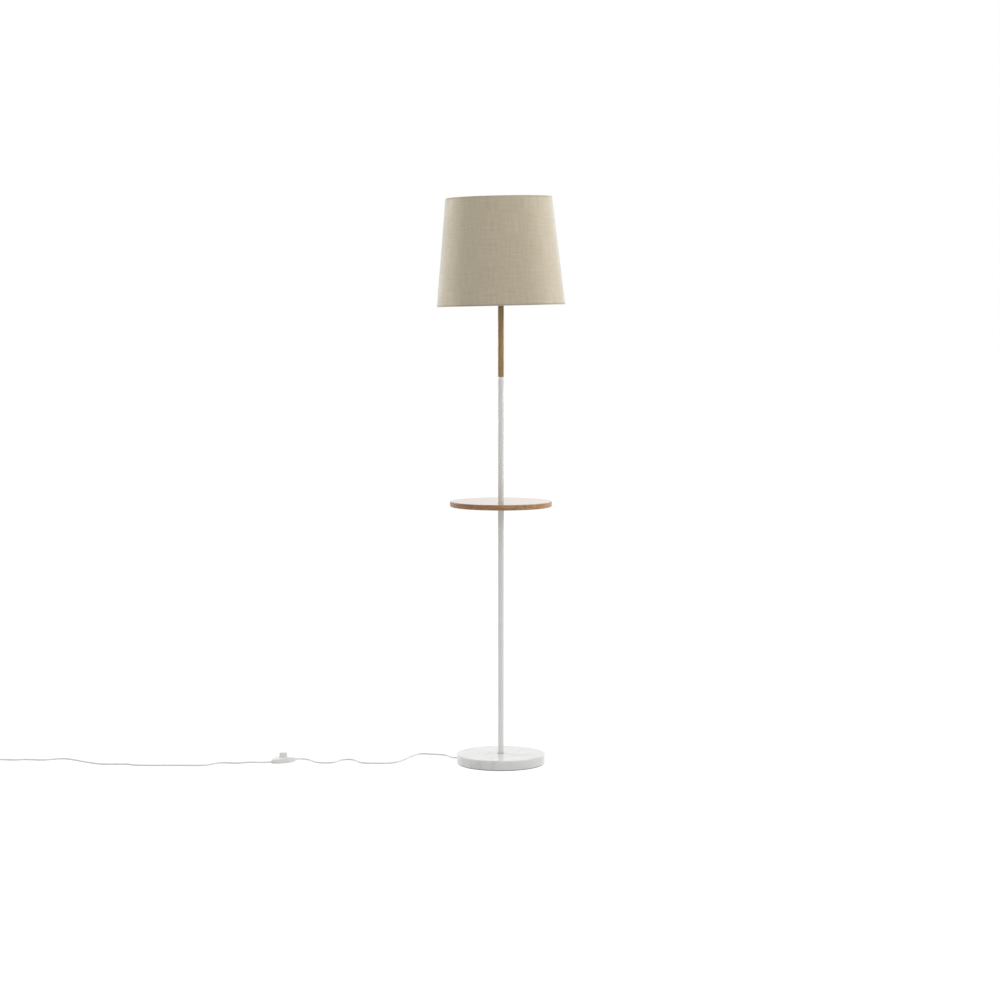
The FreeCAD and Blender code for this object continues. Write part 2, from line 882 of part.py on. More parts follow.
def cord_lamp_side():
    """From the foot to the switch, in loose curves on the floor."""
    angle = math.radians(exit_angle)
    first_run = 22.0
    last_run = 17.0
    outward = V(math.cos(angle), math.sin(angle), 0)
    places = [
        (-151, 93), (-163, 111), (-184, 121), (-229, 138), (-254, 86), (-279, 12), (-312, -15),
        (-350, -13), (-385, -10), (-411, 43), (-427, 50), (-443, 43), (-466, -8), (-509, -5),
        (-538, 41),
    ]
    points = [exit_point(), exit_point() + outward * first_run]
    points += floor_points(places)
    points += [switch_end(1, last_run), switch_end(1)]
    return free_cord("cord_lamp_side", points)


def cord_wall_side():
    """From the switch to the coil."""
    first_run = 22.0
    places = [
        (-684, -8), (-708, -4), (-738, -14), (-764, 0), (-788, -13), (-812, -46), (-850, -46),
        (-905, -44), (-960, -46), (-1006, -43), (-1028, -26), (-1105, -27), (-1150, 7), (-1190, 42),
        (-1222, 63), (-1250, 46), (-1278, 35), (-1325, 48), (-1352, 36),
    ]
    points = [switch_end(-1), switch_end(-1, first_run)]
    points += floor_points(places)
    points += [V(-1395, coil_y + coil_radius, coil_floor), coil_start()]
    return free_cord("cord_wall_side", points)


def coil_start():
    return V(coil_x + cord_diameter, coil_y + coil_radius, coil_floor)


def coil_layer_share(quarter):
    """0 on the lower layer, 1 on the upper, and 0.5 in the middle of the climb."""
    if quarter == coil_reverse:
        return 0.5
    return float(quarter > coil_reverse)


def coil_turn_radius(quarter):
    """In on the lower layer and out again on the upper, at a steady rate."""
    return coil_radius - coil_pitch / 4 * (coil_reverse - abs(quarter - coil_reverse))


def coil_outward(quarter):
    angle = math.radians(90 + 90 * quarter)
    return V(math.cos(angle), math.sin(angle), 0)


def coil_place(quarter):
    """Centre of the cord after so many quarter turns."""
    height = coil_floor + coil_layer * coil_layer_share(quarter)
    return V(coil_x, coil_y, height) + coil_outward(quarter) * coil_turn_radius(quarter)


def coil_heading(quarter):
    """Direction of the cord there, level but for the middle of the climb."""
    radius = coil_turn_radius(quarter)
    outward_rate = coil_pitch / (2 * math.pi * radius) * (2 * coil_layer_share(quarter) - 1)
    heading = UP.cross(coil_outward(quarter)) + coil_outward(quarter) * outward_rate
    if quarter == coil_reverse:
        heading += UP * (coil_climb * coil_layer / (math.pi * radius))
    return heading.normalize()


def cord_coil():
    """The put-away length: four turns in two layers, and a short end to the plug."""
    back = V(-1, 0, 0)
    quarters = 2 * coil_reverse
    edges = [Part.LineSegment(coil_start(), coil_place(0)).toShape()]
    for quarter in range(quarters):
        heading = back if quarter == 0 else coil_heading(quarter)
        leaving = back if quarter + 1 == quarters else coil_heading(quarter + 1)
        edges += biarc(coil_place(quarter), heading, coil_place(quarter + 1), leaving)
    out = coil_place(quarters)
    level = out + back * coil_run_out
    low = V(level.x - coil_step_down, level.y, plug_axis)
    edges.append(Part.LineSegment(out, level).toShape())
    edges += biarc_step(level, low, back)
    edges.append(Part.LineSegment(low, low + back * cord_diameter).toShape())
    shape = tube_on(edges, cord_diameter, coil_start(), back)
    report_tube("cord_coil", shape, edges)
    print(f"  least gap of the coil to itself {least_gap(edges):.2f} mm")
    return shape


def biarc_step(start, end, heading):
    """Two equal arcs that step sideways and keep the direction."""
    middle = (start + end) * 0.5
    chord = middle - start
    length = chord.Length
    half = heading.getAngle(chord)
    corner_first = start + heading * (length / (2 * math.cos(half)))
    corner_last = end - heading * (length / (2 * math.cos(half)))
    arcs = []
    for first, corner, last in ((start, corner_first, middle), (middle, corner_last, end)):
        between = (first + last) * 0.5
        rise = math.tan(half / 2) / math.tan(half)
        arcs.append(Part.Arc(first, between + (corner - between) * rise, last).toShape())
    return arcs


def least_gap(edges):
    """Smallest clear distance between turns, measured on points along the centre line."""
    spacing = cord_diameter / 2
    apart = 4 * cord_diameter
    points = []
    travelled = 0.0
    for edge in edges:
        count = max(2, int(edge.Length / spacing))
        first, last = edge.ParameterRange
        for k in range(count):
            share = k / count
            points.append((travelled + edge.Length * share, edge.valueAt(first + (last - first) * share)))
        travelled += edge.Length
    gaps = [
        (point - other).Length
        for place, (reached, point) in enumerate(points)
        for other_reached, other in points[place + 1:]
        if other_reached - reached > apart
    ]
    return min(gaps) - cord_diameter


def coil_tie():
    """Flat band round the coil's bundle, on the side towards the viewer."""
    outer_turn = coil_turn_radius(tie_quarter)
    inner_turn = coil_turn_radius(tie_quarter + 4)
    low = coil_y - outer_turn - cord_diameter / 2 - tie_gap
    high = coil_y - inner_turn + cord_diameter / 2 + tie_gap
    top = coil_floor + coil_layer + cord_diameter / 2 + tie_gap

    def band(extra):
        box = Part.makeBox(
            tie_width,
            high - low + 2 * extra,
            top - tie_thickness + 2 * extra,
            V(coil_x - tie_width / 2, low - extra, tie_thickness - extra),
        )
        edges = [e for e in box.Edges if abs(e.Length - tie_width) < 0.01 and e.BoundBox.XLength > 1]
        return box.makeFillet(tie_round + extra, edges)

    return band(tie_thickness).cut(band(0))


# ---------------------------------------------------------------- plug, along -X from the cord
def plug_axis_point(x):
    return V(x, coil_y + coil_radius, plug_axis)


def plug_face_x():
    return plug_tip_x - plug_relief_length - plug_length


def plug_body():
    """Flat two-pin plug with a moulded strain relief."""
    face = plug_face_x()
    y = coil_y + coil_radius
    wide = plug_width / 2
    neck = plug_neck / 2
    plan = [
        V(face, y - wide, 0),
        V(face + plug_shoulder, y - wide, 0),
        V(face + plug_length, y - neck, 0),
        V(face + plug_length, y + neck, 0),
        V(face + plug_shoulder, y + wide, 0),
        V(face, y + wide, 0),
    ]
    body = Part.Face(Part.makePolygon(plan + plan[:1])).extrude(V(0, 0, plug_height))
    body = body.makeFillet(plug_round, [e for e in body.Edges if e.BoundBox.XMax > face + 0.01])
    relief = Part.makeCone(
        plug_relief_diameter / 2,
        plug_relief_tip / 2,
        plug_relief_length,
        plug_axis_point(face + plug_length),
        V(1, 0, 0),
    )
    for side in (-1, 1):
        at = plug_axis_point(face) + V(0, side * pin_spacing / 2, 0)
        hole = Part.makeCylinder(pin_root_diameter / 2 + pin_gap, pin_root, at, V(1, 0, 0))
        body = body.cut(hole)
    return body.fuse(relief).removeSplitter()


def plug_pins():
    pins = []
    out = V(-1, 0, 0)
    for side in (-1, 1):
        at = plug_axis_point(plug_face_x()) + V(0, side * pin_spacing / 2, 0)
        pin = Part.makeCylinder(pin_diameter / 2, pin_length, at, out)
        tip = [e for e in pin.Edges if abs(e.CenterOfMass.x - pin.BoundBox.XMin) < 0.01]
        pin = pin.makeFillet(pin_diameter / 4, tip)
        root = Part.makeCylinder(pin_root_diameter / 2, pin_root, at - out * pin_root, out)
        pins.append(pin.fuse(root).removeSplitter())
    return Part.makeCompound(pins)


# ---------------------------------------------------------------- all pieces
FIXED = {
    "base_slab": base_slab,
    "base_pad": base_pad,
    "base_rod": base_rod,
    "base_washer": base_washer,
    "base_nut": lambda: hex_nut(nut_bottom),
    "cord_bushing": cord_bushing,
    "lower_tube": lambda: pole_tube(base_top, flange_bottom),
    "lower_tube_foot_insert": lambda: tube_insert(base_top),
    "lower_tube_top_insert": lambda: tube_insert(flange_bottom - insert_length),
    "table_flange": table_flange,
    "table_screws": table_screws,
    "table_top": table_top,
    "table_rod": table_rod,
    "upper_tube": lambda: pole_tube(upper_tube_bottom, upper_tube_top),
    "upper_tube_insert": lambda: tube_insert(upper_tube_bottom),
    "pole_ferrule": pole_ferrule,
    "wood_pole": wood_pole,
    "inner_cord": inner_cord,
    "cord_lamp_side": cord_lamp_side,
    "cord_wall_side": cord_wall_side,
    "cord_coil": cord_coil,
    "coil_tie": coil_tie,
    "plug_body": plug_body,
    "plug_pins": plug_pins,
}

HEAD = {
    "head_rod": head_rod,
    "head_seat": head_seat,
    "lampholder_cap": lampholder_cap,
    "head_nut": lambda: hex_nut(cap_bottom + cap_floor),
    "lampholder_body": lampholder_body,
    "lampholder_core": lampholder_core,
    "lampholder_shell": lampholder_shell,
    "centre_contact": centre_contact,
    "bulb_cap": bulb_cap,
    "bulb_glass": bulb_glass,
    "shade_carrier": shade_carrier,
    "shade_ring_nut": shade_ring_nut,
    "shade_top_ring": shade_top_ring,
    "shade_skin": shade_skin,
}

SWITCH = {
    "switch_base": switch_base,
    "switch_cover": switch_cover,
    "switch_screws": switch_screws,
    "switch_core": switch_core,
    "switch_spring": switch_spring,
    "switch_button": switch_button,
    "switch_reliefs": switch_reliefs,
    "switch_leads": switch_leads,
}


def save(name, shape):
    if not shape.isValid():
        print(f"{name} isn't a valid solid")
    shape.exportStep(f"parts/{name}.step")


os.makedirs("parts", exist_ok=True)
for name, make in FIXED.items():
    save(name, make())
for name, make in HEAD.items():
    save(name, stand_in_head(make()))
for name, make in SWITCH.items():
    save(name, stand_at_switch(make()))
print(f"{len(FIXED) + len(HEAD) + len(SWITCH)} pieces written")
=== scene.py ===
import json
import math

import bpy
from mathutils import Matrix, Vector

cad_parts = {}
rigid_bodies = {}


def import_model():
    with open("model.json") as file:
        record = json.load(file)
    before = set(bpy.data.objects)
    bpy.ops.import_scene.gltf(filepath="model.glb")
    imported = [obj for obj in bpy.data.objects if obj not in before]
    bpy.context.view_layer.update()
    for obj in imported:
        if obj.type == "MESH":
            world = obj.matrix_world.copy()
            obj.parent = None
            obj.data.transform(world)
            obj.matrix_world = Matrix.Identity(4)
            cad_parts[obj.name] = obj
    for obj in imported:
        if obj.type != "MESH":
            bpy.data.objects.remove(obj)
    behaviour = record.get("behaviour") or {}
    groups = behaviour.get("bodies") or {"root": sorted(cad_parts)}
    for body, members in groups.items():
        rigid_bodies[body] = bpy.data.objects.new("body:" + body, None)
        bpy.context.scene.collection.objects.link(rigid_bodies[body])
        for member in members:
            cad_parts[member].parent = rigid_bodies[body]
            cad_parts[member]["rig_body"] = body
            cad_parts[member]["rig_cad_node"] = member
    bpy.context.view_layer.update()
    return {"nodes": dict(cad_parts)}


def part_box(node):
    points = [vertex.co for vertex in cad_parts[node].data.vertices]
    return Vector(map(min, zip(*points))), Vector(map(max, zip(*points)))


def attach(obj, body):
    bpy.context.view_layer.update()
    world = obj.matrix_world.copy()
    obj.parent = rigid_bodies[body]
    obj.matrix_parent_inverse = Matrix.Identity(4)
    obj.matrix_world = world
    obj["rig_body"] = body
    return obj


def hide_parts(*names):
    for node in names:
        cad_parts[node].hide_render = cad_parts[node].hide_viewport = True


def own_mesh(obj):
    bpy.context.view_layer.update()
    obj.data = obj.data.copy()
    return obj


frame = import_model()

# Floor lamp with a round table: the finish of every part, the shade's cover, the free cord
# with its plug, and a plain white studio. Metres, in the lamp's own frame.
nodes = frame["nodes"]

MM = 0.001
SMOOTH_ANGLE = math.radians(40)         # a sharper edge is shaded as an edge

# ---------------------------------------------------------------- sizes and places
POLE_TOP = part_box("wood_pole")[1].z
POLE_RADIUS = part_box("wood_pole")[1].x
HEAD_LEAN = math.radians(1.3)          # the lampholder and shade lean to -X
HEAD = Matrix.Translation((0, 0, POLE_TOP)) @ Matrix.Rotation(-HEAD_LEAN, 4, "Y")

TABLE_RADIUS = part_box("table_top")[1].x
STAVE_LENGTH = 118 * MM
STAVE_WIDTH = 41 * MM
STAVE_JOINT = 0.15 * MM
PAINTED_SHADE_X = -110 * MM                # painted shade darkens the table's wood here, and painted light brightens it towards here
PAINTED_LIGHT_X = 130 * MM                   # palest towards here

SHADE_BOTTOM_RADIUS = 175 * MM
SHADE_TOP_RADIUS = 145 * MM
SHADE_HEIGHT = 293 * MM
SHADE_LOW = -24 * MM                   # lower rim, below the top of the pole
SHADE_WALL = 1.0 * MM
SHADE_WAVER = 0.7 * MM                 # how far the glued cover wanders off its cone
SHADE_SIDES = 192
SHADE_ROWS = 28
HEM_ROLL = 3.2 * MM                    # radius of the linen rolled round a ring
HEM_HEIGHT = 5.0 * MM
HEM_PROUD = 0.4 * MM                   # how far the roll stands out of the cover
HEM_CREASE = 0.4 * MM
SEAM_WIDTH = 12 * MM
SEAM_THICKNESS = 0.5 * MM

# a grey ring round the pole's foot, painted shade for the contact line there
FOOT_RING_WALL = 0.8 * MM
FOOT_RING_HEIGHT = 1.8 * MM
FOOT_RING_LIP = 0.05 * MM                 # what the wall leaves free of the pole
FELT_FUR = 0.3 * MM

CORD_DIAMETER = 5 * MM
COIL_CENTRE = Vector((-1.438, 0.008, 0))
COIL_RADIUS = 33 * MM
COIL_PITCH = 5.6 * MM
COIL_LOW = 3.4 * MM
COIL_LAYER = 5.45 * MM
COIL_REVERSE = 8                       # quarter turns to where it climbs and turns back outwards
COIL_POINTS = 3                        # points in a quarter turn

PLUG_AXIS = Vector((0, 0.041, 0.007))
PLUG_TIP_X = -1.475
PLUG_LENGTH = 30 * MM
PLUG_WIDTH = 35 * MM
PLUG_HEIGHT = 14 * MM
PLUG_SHOULDER = 9 * MM                 # length at full width, behind the face
PLUG_NECK = 15 * MM                    # width where the cord goes in
PLUG_ROUNDING = 2.2 * MM
GRIP_MARGIN = 2.0 * MM
GRIP_SLOPE = 0.6 * MM
GRIP_DEPTH = 0.7 * MM
RELIEF_LENGTH = 14 * MM
RELIEF_ROWS = 20
RELIEF_GROOVE = 0.86                   # a groove's share of the width
RELIEF_X = PLUG_TIP_X - RELIEF_LENGTH  # where the relief meets the plug
PLUG_FACE_X = RELIEF_X - PLUG_LENGTH

TWIST_SIZE = (16 * MM, 3.6 * MM, 0.7 * MM)
TWIST_ROWS = 32
TWIST_TURN = math.radians(520)
TWIST_TILT = (0, math.radians(-8), math.radians(-12))

LAMP_CORD_ROUTE = [
    (-0.12326, 0.05748, 0.0046), (-0.1391, 0.06485, 0.0046), (-0.1458, 0.0965, 0.0025),
    (-0.158, 0.1175, 0.0025), (-0.184, 0.124, 0.0025), (-0.229, 0.141, 0.0025),
    (-0.254, 0.086, 0.0025), (-0.279, 0.012, 0.0025), (-0.312, -0.015, 0.0025),
    (-0.35, -0.013, 0.0025), (-0.385, -0.01, 0.0025), (-0.4038, 0.0276, 0.0025),
    (-0.411, 0.042, 0.0025), (-0.427, 0.048, 0.0025), (-0.443, 0.04, 0.0025),
    (-0.4502, 0.0236, 0.0025), (-0.466, -0.008, 0.0025), (-0.509, -0.005, 0.0025),
    (-0.5239, 0.0224, 0.0025), (-0.5335, 0.04, 0.0025), (-0.5552, 0.04504, 0.005),
    (-0.56945, 0.03579, 0.005),
]
WALL_CORD_ROUTE = [
    (-0.63655, -0.00779, 0.005), (-0.655, -0.01977, 0.005), (-0.684, -0.006, 0.0045),
    (-0.708, -0.002, 0.0025), (-0.738, -0.014, 0.0025), (-0.764, 0.0, 0.0025),
    (-0.788, -0.013, 0.0025), (-0.812, -0.046, 0.0025), (-0.85, -0.046, 0.0025),
    (-0.905, -0.044, 0.0025), (-0.96, -0.046, 0.0025), (-1.006, -0.043, 0.0025),
    (-1.028, -0.026, 0.0025), (-1.062, -0.0265, 0.0025), (-1.105, -0.027, 0.0025),
    (-1.15, 0.007, 0.0025), (-1.19, 0.042, 0.0025), (-1.222, 0.063, 0.0025),
    (-1.25, 0.046, 0.0025), (-1.278, 0.035, 0.0025), (-1.325, 0.048, 0.0025),
    (-1.352, 0.036, 0.0025), (-1.395, 0.041, 0.0034), (-1.433, 0.041, 0.0034),
]

UPPER_POLE = (0, 0, 1.3)               # places that the studio's lamps point at
SHADE_MIDDLE = (0, 0, 1.43)
LAMP_MIDDLE = (0, 0, 0.8)
FOOT = (0, 0, 0)

CAMERA_PLACE = (-0.00246, -6.875, 1.2663)
CAMERA_DOWN = 4.4583                   # degrees
CAMERA_LENS = 90.456                   # millimetres, on a sensor of 36


# ---------------------------------------------------------------- materials
def linear(colour):
    """An sRGB hex colour as linear red, green, blue and alpha."""
    parts = [int(colour[k:k + 2], 16) / 255 for k in (1, 3, 5)]
    return [c / 12.92 if c <= 0.04045 else ((c + 0.055) / 1.055) ** 2.4 for c in parts] + [1.0]


def add(tree, kind, inputs, stops=(), **settings):
    """A node with its settings. An input is a value or another node's output."""
    made = tree.nodes.new("ShaderNode" + kind)
    for name, value in settings.items():
        setattr(made, name, value)
    for name, value in inputs.items():
        if isinstance(value, bpy.types.NodeSocket):
            tree.links.new(value, made.inputs[name])
        else:
            made.inputs[name].default_value = value
    if stops:
        while len(made.color_ramp.elements) < len(stops):
            made.color_ramp.elements.new(1.0)
        for element, (place, colour) in zip(made.color_ramp.elements, stops):
            element.position = place
            element.color = linear(colour)
    return made


def new_material(name, colour, roughness, metallic=0.0, **inputs):
    """A material with its Principled shader, whose even values are set on its own sockets."""
    material = bpy.data.materials.new(name)
    material.use_nodes = True
    tree = material.node_tree
    surface = tree.nodes["Principled BSDF"]
    surface.inputs["Base Color"].default_value = linear(colour)
    surface.inputs["Roughness"].default_value = roughness
    surface.inputs["Metallic"].default_value = metallic
    for name, value in inputs.items():
        surface.inputs[name.replace("_", " ")].default_value = value
    return material, tree, surface


def wave_scale(pitch):
    """The scale at which a wave texture's bands lie a pitch apart."""
    return 2 * math.pi / pitch / 20


def polished_marble():
    """White marble, turned and polished: a cloudy body with a few thin grey veins, and a
    clear gloss in which the pole shows."""
    material, tree, surface = new_material("polished_marble", "#dededc", 0.07, IOR=1.5)
    at = add(tree, "TexCoord", {}).outputs["Object"]
    drift = add(tree, "TexNoise", {"Vector": at, "Scale": 1 / (80 * MM), "Detail": 4.0,
                                   "Roughness": 0.6})
    bent = add(tree, "VectorMath", {0: drift.outputs["Color"], 1: (0.05, 0.05, 0.05), 2: at},
               operation="MULTIPLY_ADD")
    vein = add(tree, "TexNoise", {"Vector": bent.outputs[0], "Scale": 1 / (110 * MM),
                                  "Detail": 2.5, "Roughness": 0.45})
    off = add(tree, "Math", {0: vein.outputs["Fac"], 1: 0.5}, operation="SUBTRACT")
    near = add(tree, "Math", {0: off.outputs[0]}, operation="ABSOLUTE")
    body = add(tree, "TexNoise", {"Vector": bent.outputs[0], "Scale": 1 / (45 * MM),
                                  "Detail": 5.0})
    cloud = add(tree, "ValToRGB", {"Fac": body.outputs["Fac"]},
                stops=[(0.30, "#d9d9d7"), (0.50, "#dddddb"), (0.75, "#e1e1df")])
    line = add(tree, "ValToRGB", {"Fac": near.outputs[0]},
               stops=[(0.0, "#cfd0d0"), (0.010, "#e2e2e2"), (0.035, "#ffffff")])
    both = add(tree, "MixRGB", {"Fac": 0.3, "Color1": cloud.outputs["Color"],
                                "Color2": line.outputs["Color"]}, blend_type="MULTIPLY")
    tree.links.new(both.outputs["Color"], surface.inputs["Base Color"])
    polish = add(tree, "MapRange", {"Value": body.outputs["Fac"], "To Min": 0.04,
                                    "To Max": 0.10})
    tree.links.new(polish.outputs[0], surface.inputs["Roughness"])
    return material


def white_coat(name, light, dark, roughness, peel_strength):
    """White baked coat on metal, with the slight orange peel of its film."""
    material, tree, surface = new_material(name, light, roughness, IOR=1.5)
    at = add(tree, "TexCoord", {}).outputs["Object"]
    peel = add(tree, "TexNoise", {"Vector": at, "Scale": 1 / (2.5 * MM), "Detail": 2.0})
    bump = add(tree, "Bump", {"Height": peel.outputs["Fac"], "Strength": peel_strength,
                              "Distance": 0.05 * MM})
    tree.links.new(bump.outputs[0], surface.inputs["Normal"])
    tone = add(tree, "TexNoise", {"Vector": at, "Scale": 1 / (120 * MM), "Detail": 2.0})
    paint = add(tree, "ValToRGB", {"Fac": tone.outputs["Fac"]}, stops=[(0.3, dark), (0.7, light)])
    tree.links.new(paint.outputs["Color"], surface.inputs["Base Color"])
    gloss = add(tree, "MapRange", {"Value": tone.outputs["Fac"], "To Min": roughness - 0.06,
                                   "To Max": roughness + 0.06})
    tree.links.new(gloss.outputs[0], surface.inputs["Roughness"])
    return material


def add_grain(tree, at, stretch):
    """Wood grain, as growth bands and fine pores. The fibres run along the axis where
    stretch is small."""
    along = add(tree, "VectorMath", {0: at, 1: stretch}, operation="MULTIPLY")
    sway = add(tree, "TexNoise", {"Vector": along.outputs[0], "Scale": 1 / (30 * MM),
                                  "Detail": 3.0})
    bent = add(tree, "VectorMath", {0: sway.outputs["Color"], 1: (0.012, 0.012, 0.012),
                                    2: along.outputs[0]}, operation="MULTIPLY_ADD")
    bands = add(tree, "TexNoise", {"Vector": bent.outputs[0], "Scale": 1 / (5 * MM),
                                   "Detail": 4.0, "Roughness": 0.65})
    pores = add(tree, "TexNoise", {"Vector": bent.outputs[0], "Scale": 1 / (0.9 * MM),
                                   "Detail": 2.0})
    return bands.outputs["Fac"], pores.outputs["Fac"]


def lacquered_top():
    """Edge-glued hardwood staves, sanded, with several coats of clear gloss lacquer on the
    face, which mirror the white room, and a thin one on the turned rim. Painted shade darkens
    the board towards the left, and painted light brightens it towards the right."""
    material, tree, surface = new_material(
        "lacquered_top", "#a87f55", 0.38, IOR=1.5, Coat_Roughness=0.06, Coat_IOR=1.5)
    at = add(tree, "TexCoord", {}).outputs["Object"]
    moved = add(tree, "Mapping", {"Vector": at, "Location": (0.021, 0.155, 0)})
    stave = add(tree, "TexBrick", {
        "Vector": moved.outputs[0], "Color1": linear("#000000"), "Color2": linear("#ffffff"),
        "Mortar": linear("#000000"), "Scale": 1.0, "Mortar Size": STAVE_JOINT,
        "Mortar Smooth": 0.2, "Bias": 0.0, "Brick Width": STAVE_LENGTH,
        "Row Height": STAVE_WIDTH}, offset=0.37)
    shifted = add(tree, "VectorMath", {0: stave.outputs["Color"], 1: (0.7, 0.3, 0.5), 2: at},
                  operation="MULTIPLY_ADD")
    bands, pores = add_grain(tree, shifted.outputs[0], (0.06, 1.0, 1.0))
    wood = add(tree, "ValToRGB", {"Fac": bands},
               stops=[(0.28, "#8f663e"), (0.48, "#b78d62"), (0.70, "#cea97e")])
    tone = add(tree, "ValToRGB", {"Fac": stave.outputs["Color"]},
               stops=[(0.0, "#dccfc2"), (1.0, "#ffffff")])
    staved = add(tree, "MixRGB", {"Fac": 0.6, "Color1": wood.outputs["Color"],
                                  "Color2": tone.outputs["Color"]}, blend_type="MULTIPLY")
    # painted light and shade: the board is coloured darker towards the left and lighter towards
    # the right
    place = add(tree, "SeparateXYZ", {"Vector": at})
    across = add(tree, "MapRange", {"Value": place.outputs["X"], "From Min": PAINTED_SHADE_X,
                                    "From Max": PAINTED_LIGHT_X})
    side_light_ramp = add(tree, "ValToRGB", {"Fac": across.outputs[0]},
              stops=[(0.10, "#d5c9bc"), (0.46, "#e3d5c7"), (0.64, "#f2eee9"), (0.78, "#ffffff")])
    side_lit = add(tree, "MixRGB", {"Fac": 1.0, "Color1": staved.outputs["Color"],
                                "Color2": side_light_ramp.outputs["Color"]}, blend_type="MULTIPLY")
    dark = add(tree, "ValToRGB", {"Fac": pores}, stops=[(0.30, "#a08062"), (0.42, "#ffffff")])
    open_pores = add(tree, "MixRGB", {"Fac": 0.5, "Color1": side_lit.outputs["Color"],
                                      "Color2": dark.outputs["Color"]}, blend_type="MULTIPLY")
    joint = add(tree, "MixRGB", {"Fac": stave.outputs["Fac"],
                                 "Color1": open_pores.outputs["Color"],
                                 "Color2": linear("#5a3820")})
    tree.links.new(joint.outputs["Color"], surface.inputs["Base Color"])
    flat = add(tree, "VectorMath", {0: at, 1: (1, 1, 0)}, operation="MULTIPLY")
    reach = add(tree, "VectorMath", {0: flat.outputs[0]}, operation="LENGTH")
    film = add(tree, "MapRange", {
        "Value": reach.outputs["Value"], "From Min": TABLE_RADIUS - 2.5 * MM,
        "From Max": TABLE_RADIUS - 1 * MM, "To Min": 1.0, "To Max": 0.12})
    tree.links.new(film.outputs[0], surface.inputs["Coat Weight"])
    bump = add(tree, "Bump", {"Height": bands, "Strength": 0.04, "Distance": 0.1 * MM})
    tree.links.new(bump.outputs[0], surface.inputs["Normal"])
    return material


def turned_pole_wood():
    """The same hardwood turned to a rod, under satin lacquer: fibres run up the pole, and
    its gloss is dull."""
    material, tree, surface = new_material(
        "turned_pole_wood", "#967b51", 0.5, IOR=1.45, Coat_Weight=0.05, Coat_Roughness=0.25)
    at = add(tree, "TexCoord", {}).outputs["Object"]
    bands, pores = add_grain(tree, at, (1.0, 1.0, 0.05))
    wood = add(tree, "ValToRGB", {"Fac": bands},
               stops=[(0.28, "#7b603a"), (0.48, "#967b51"), (0.70, "#a78d63")])
    dark = add(tree, "ValToRGB", {"Fac": pores}, stops=[(0.30, "#8f7458"), (0.42, "#ffffff")])
    both = add(tree, "MixRGB", {"Fac": 0.6, "Color1": wood.outputs["Color"],
                                "Color2": dark.outputs["Color"]}, blend_type="MULTIPLY")
    tree.links.new(both.outputs["Color"], surface.inputs["Base Color"])
    bump = add(tree, "Bump", {"Height": pores, "Strength": 0.2, "Distance": 0.1 * MM})
    tree.links.new(bump.outputs[0], surface.inputs["Normal"])
    return material


def woven_linen(name, thin, even_yarn, thick):
    """Undyed linen glued to a stiff lining: flat weave with thick and thin yarns, drawn from
    the cut cloth's own coordinates, and a fuzz that brightens its edges. Its threads are finer
    than a picture of the whole lamp shows, so the coarser slubs carry the look."""
    material, tree, surface = new_material(
        name, even_yarn, 0.7, IOR=1.45, Sheen_Weight=1.0, Sheen_Roughness=0.3,
        Sheen_Tint=linear("#f0fafd"))
    cloth = add(tree, "UVMap", {}, uv_map="cloth").outputs["UV"]
    thread = 0.8 * MM
    slub_width = 3.2 * MM
    heights = []
    slubs = []
    for direction, stretch in (("X", (1.0, 0.05, 1.0)), ("Y", (0.05, 1.0, 1.0))):
        yarn = add(tree, "TexWave", {"Vector": cloth, "Scale": wave_scale(thread),
                                     "Distortion": 1.2, "Detail": 2.0, "Detail Scale": 0.6},
                   wave_type="BANDS", bands_direction=direction)
        heights.append(yarn.outputs["Fac"])
        run = add(tree, "VectorMath", {0: cloth, 1: stretch}, operation="MULTIPLY")
        slub = add(tree, "TexNoise", {"Vector": run.outputs[0], "Scale": 1 / slub_width,
                                      "Detail": 3.0, "Roughness": 0.7})
        slubs.append(slub.outputs["Fac"])
    weave = add(tree, "Math", {0: heights[0], 1: heights[1]}, operation="ADD")
    uneven = add(tree, "Math", {0: slubs[0], 1: slubs[1]}, operation="ADD")
    relief = add(tree, "Math", {0: uneven.outputs[0], 1: 1.5, 2: weave.outputs[0]},
                 operation="MULTIPLY_ADD")
    bump = add(tree, "Bump", {"Height": relief.outputs[0], "Strength": 0.35,
                              "Distance": 0.12 * MM})
    tree.links.new(bump.outputs[0], surface.inputs["Normal"])
    even = add(tree, "Math", {0: uneven.outputs[0], 1: 0.5}, operation="MULTIPLY")
    yarns = add(tree, "ValToRGB", {"Fac": even.outputs[0]},
                stops=[(0.34, thin), (0.50, even_yarn), (0.66, thick)])
    gaps = add(tree, "ValToRGB", {"Fac": weave.outputs[0]},
               stops=[(0.1, "#d6cdbc"), (0.9, "#ffffff")])
    both = add(tree, "MixRGB", {"Fac": 0.35, "Color1": yarns.outputs["Color"],
                                "Color2": gaps.outputs["Color"]}, blend_type="MULTIPLY")
    tree.links.new(both.outputs["Color"], surface.inputs["Base Color"])
    return material


def lining_film():
    """White styrene film laminated behind the linen: smooth and matt, with a faint print of
    the weave."""
    material, tree, surface = new_material("lining_film", "#e4e0d6", 0.55)
    cloth = add(tree, "UVMap", {}, uv_map="cloth").outputs["UV"]
    print_through = add(tree, "TexNoise", {"Vector": cloth, "Scale": 1 / (2.5 * MM),
                                           "Detail": 2.0})
    bump = add(tree, "Bump", {"Height": print_through.outputs["Fac"], "Strength": 0.15,
                              "Distance": 0.05 * MM})
    tree.links.new(bump.outputs[0], surface.inputs["Normal"])
    tone = add(tree, "ValToRGB", {"Fac": print_through.outputs["Fac"]},
               stops=[(0.3, "#e0dccf"), (0.7, "#e8e4da")])
    tree.links.new(tone.outputs["Color"], surface.inputs["Base Color"])
    return material


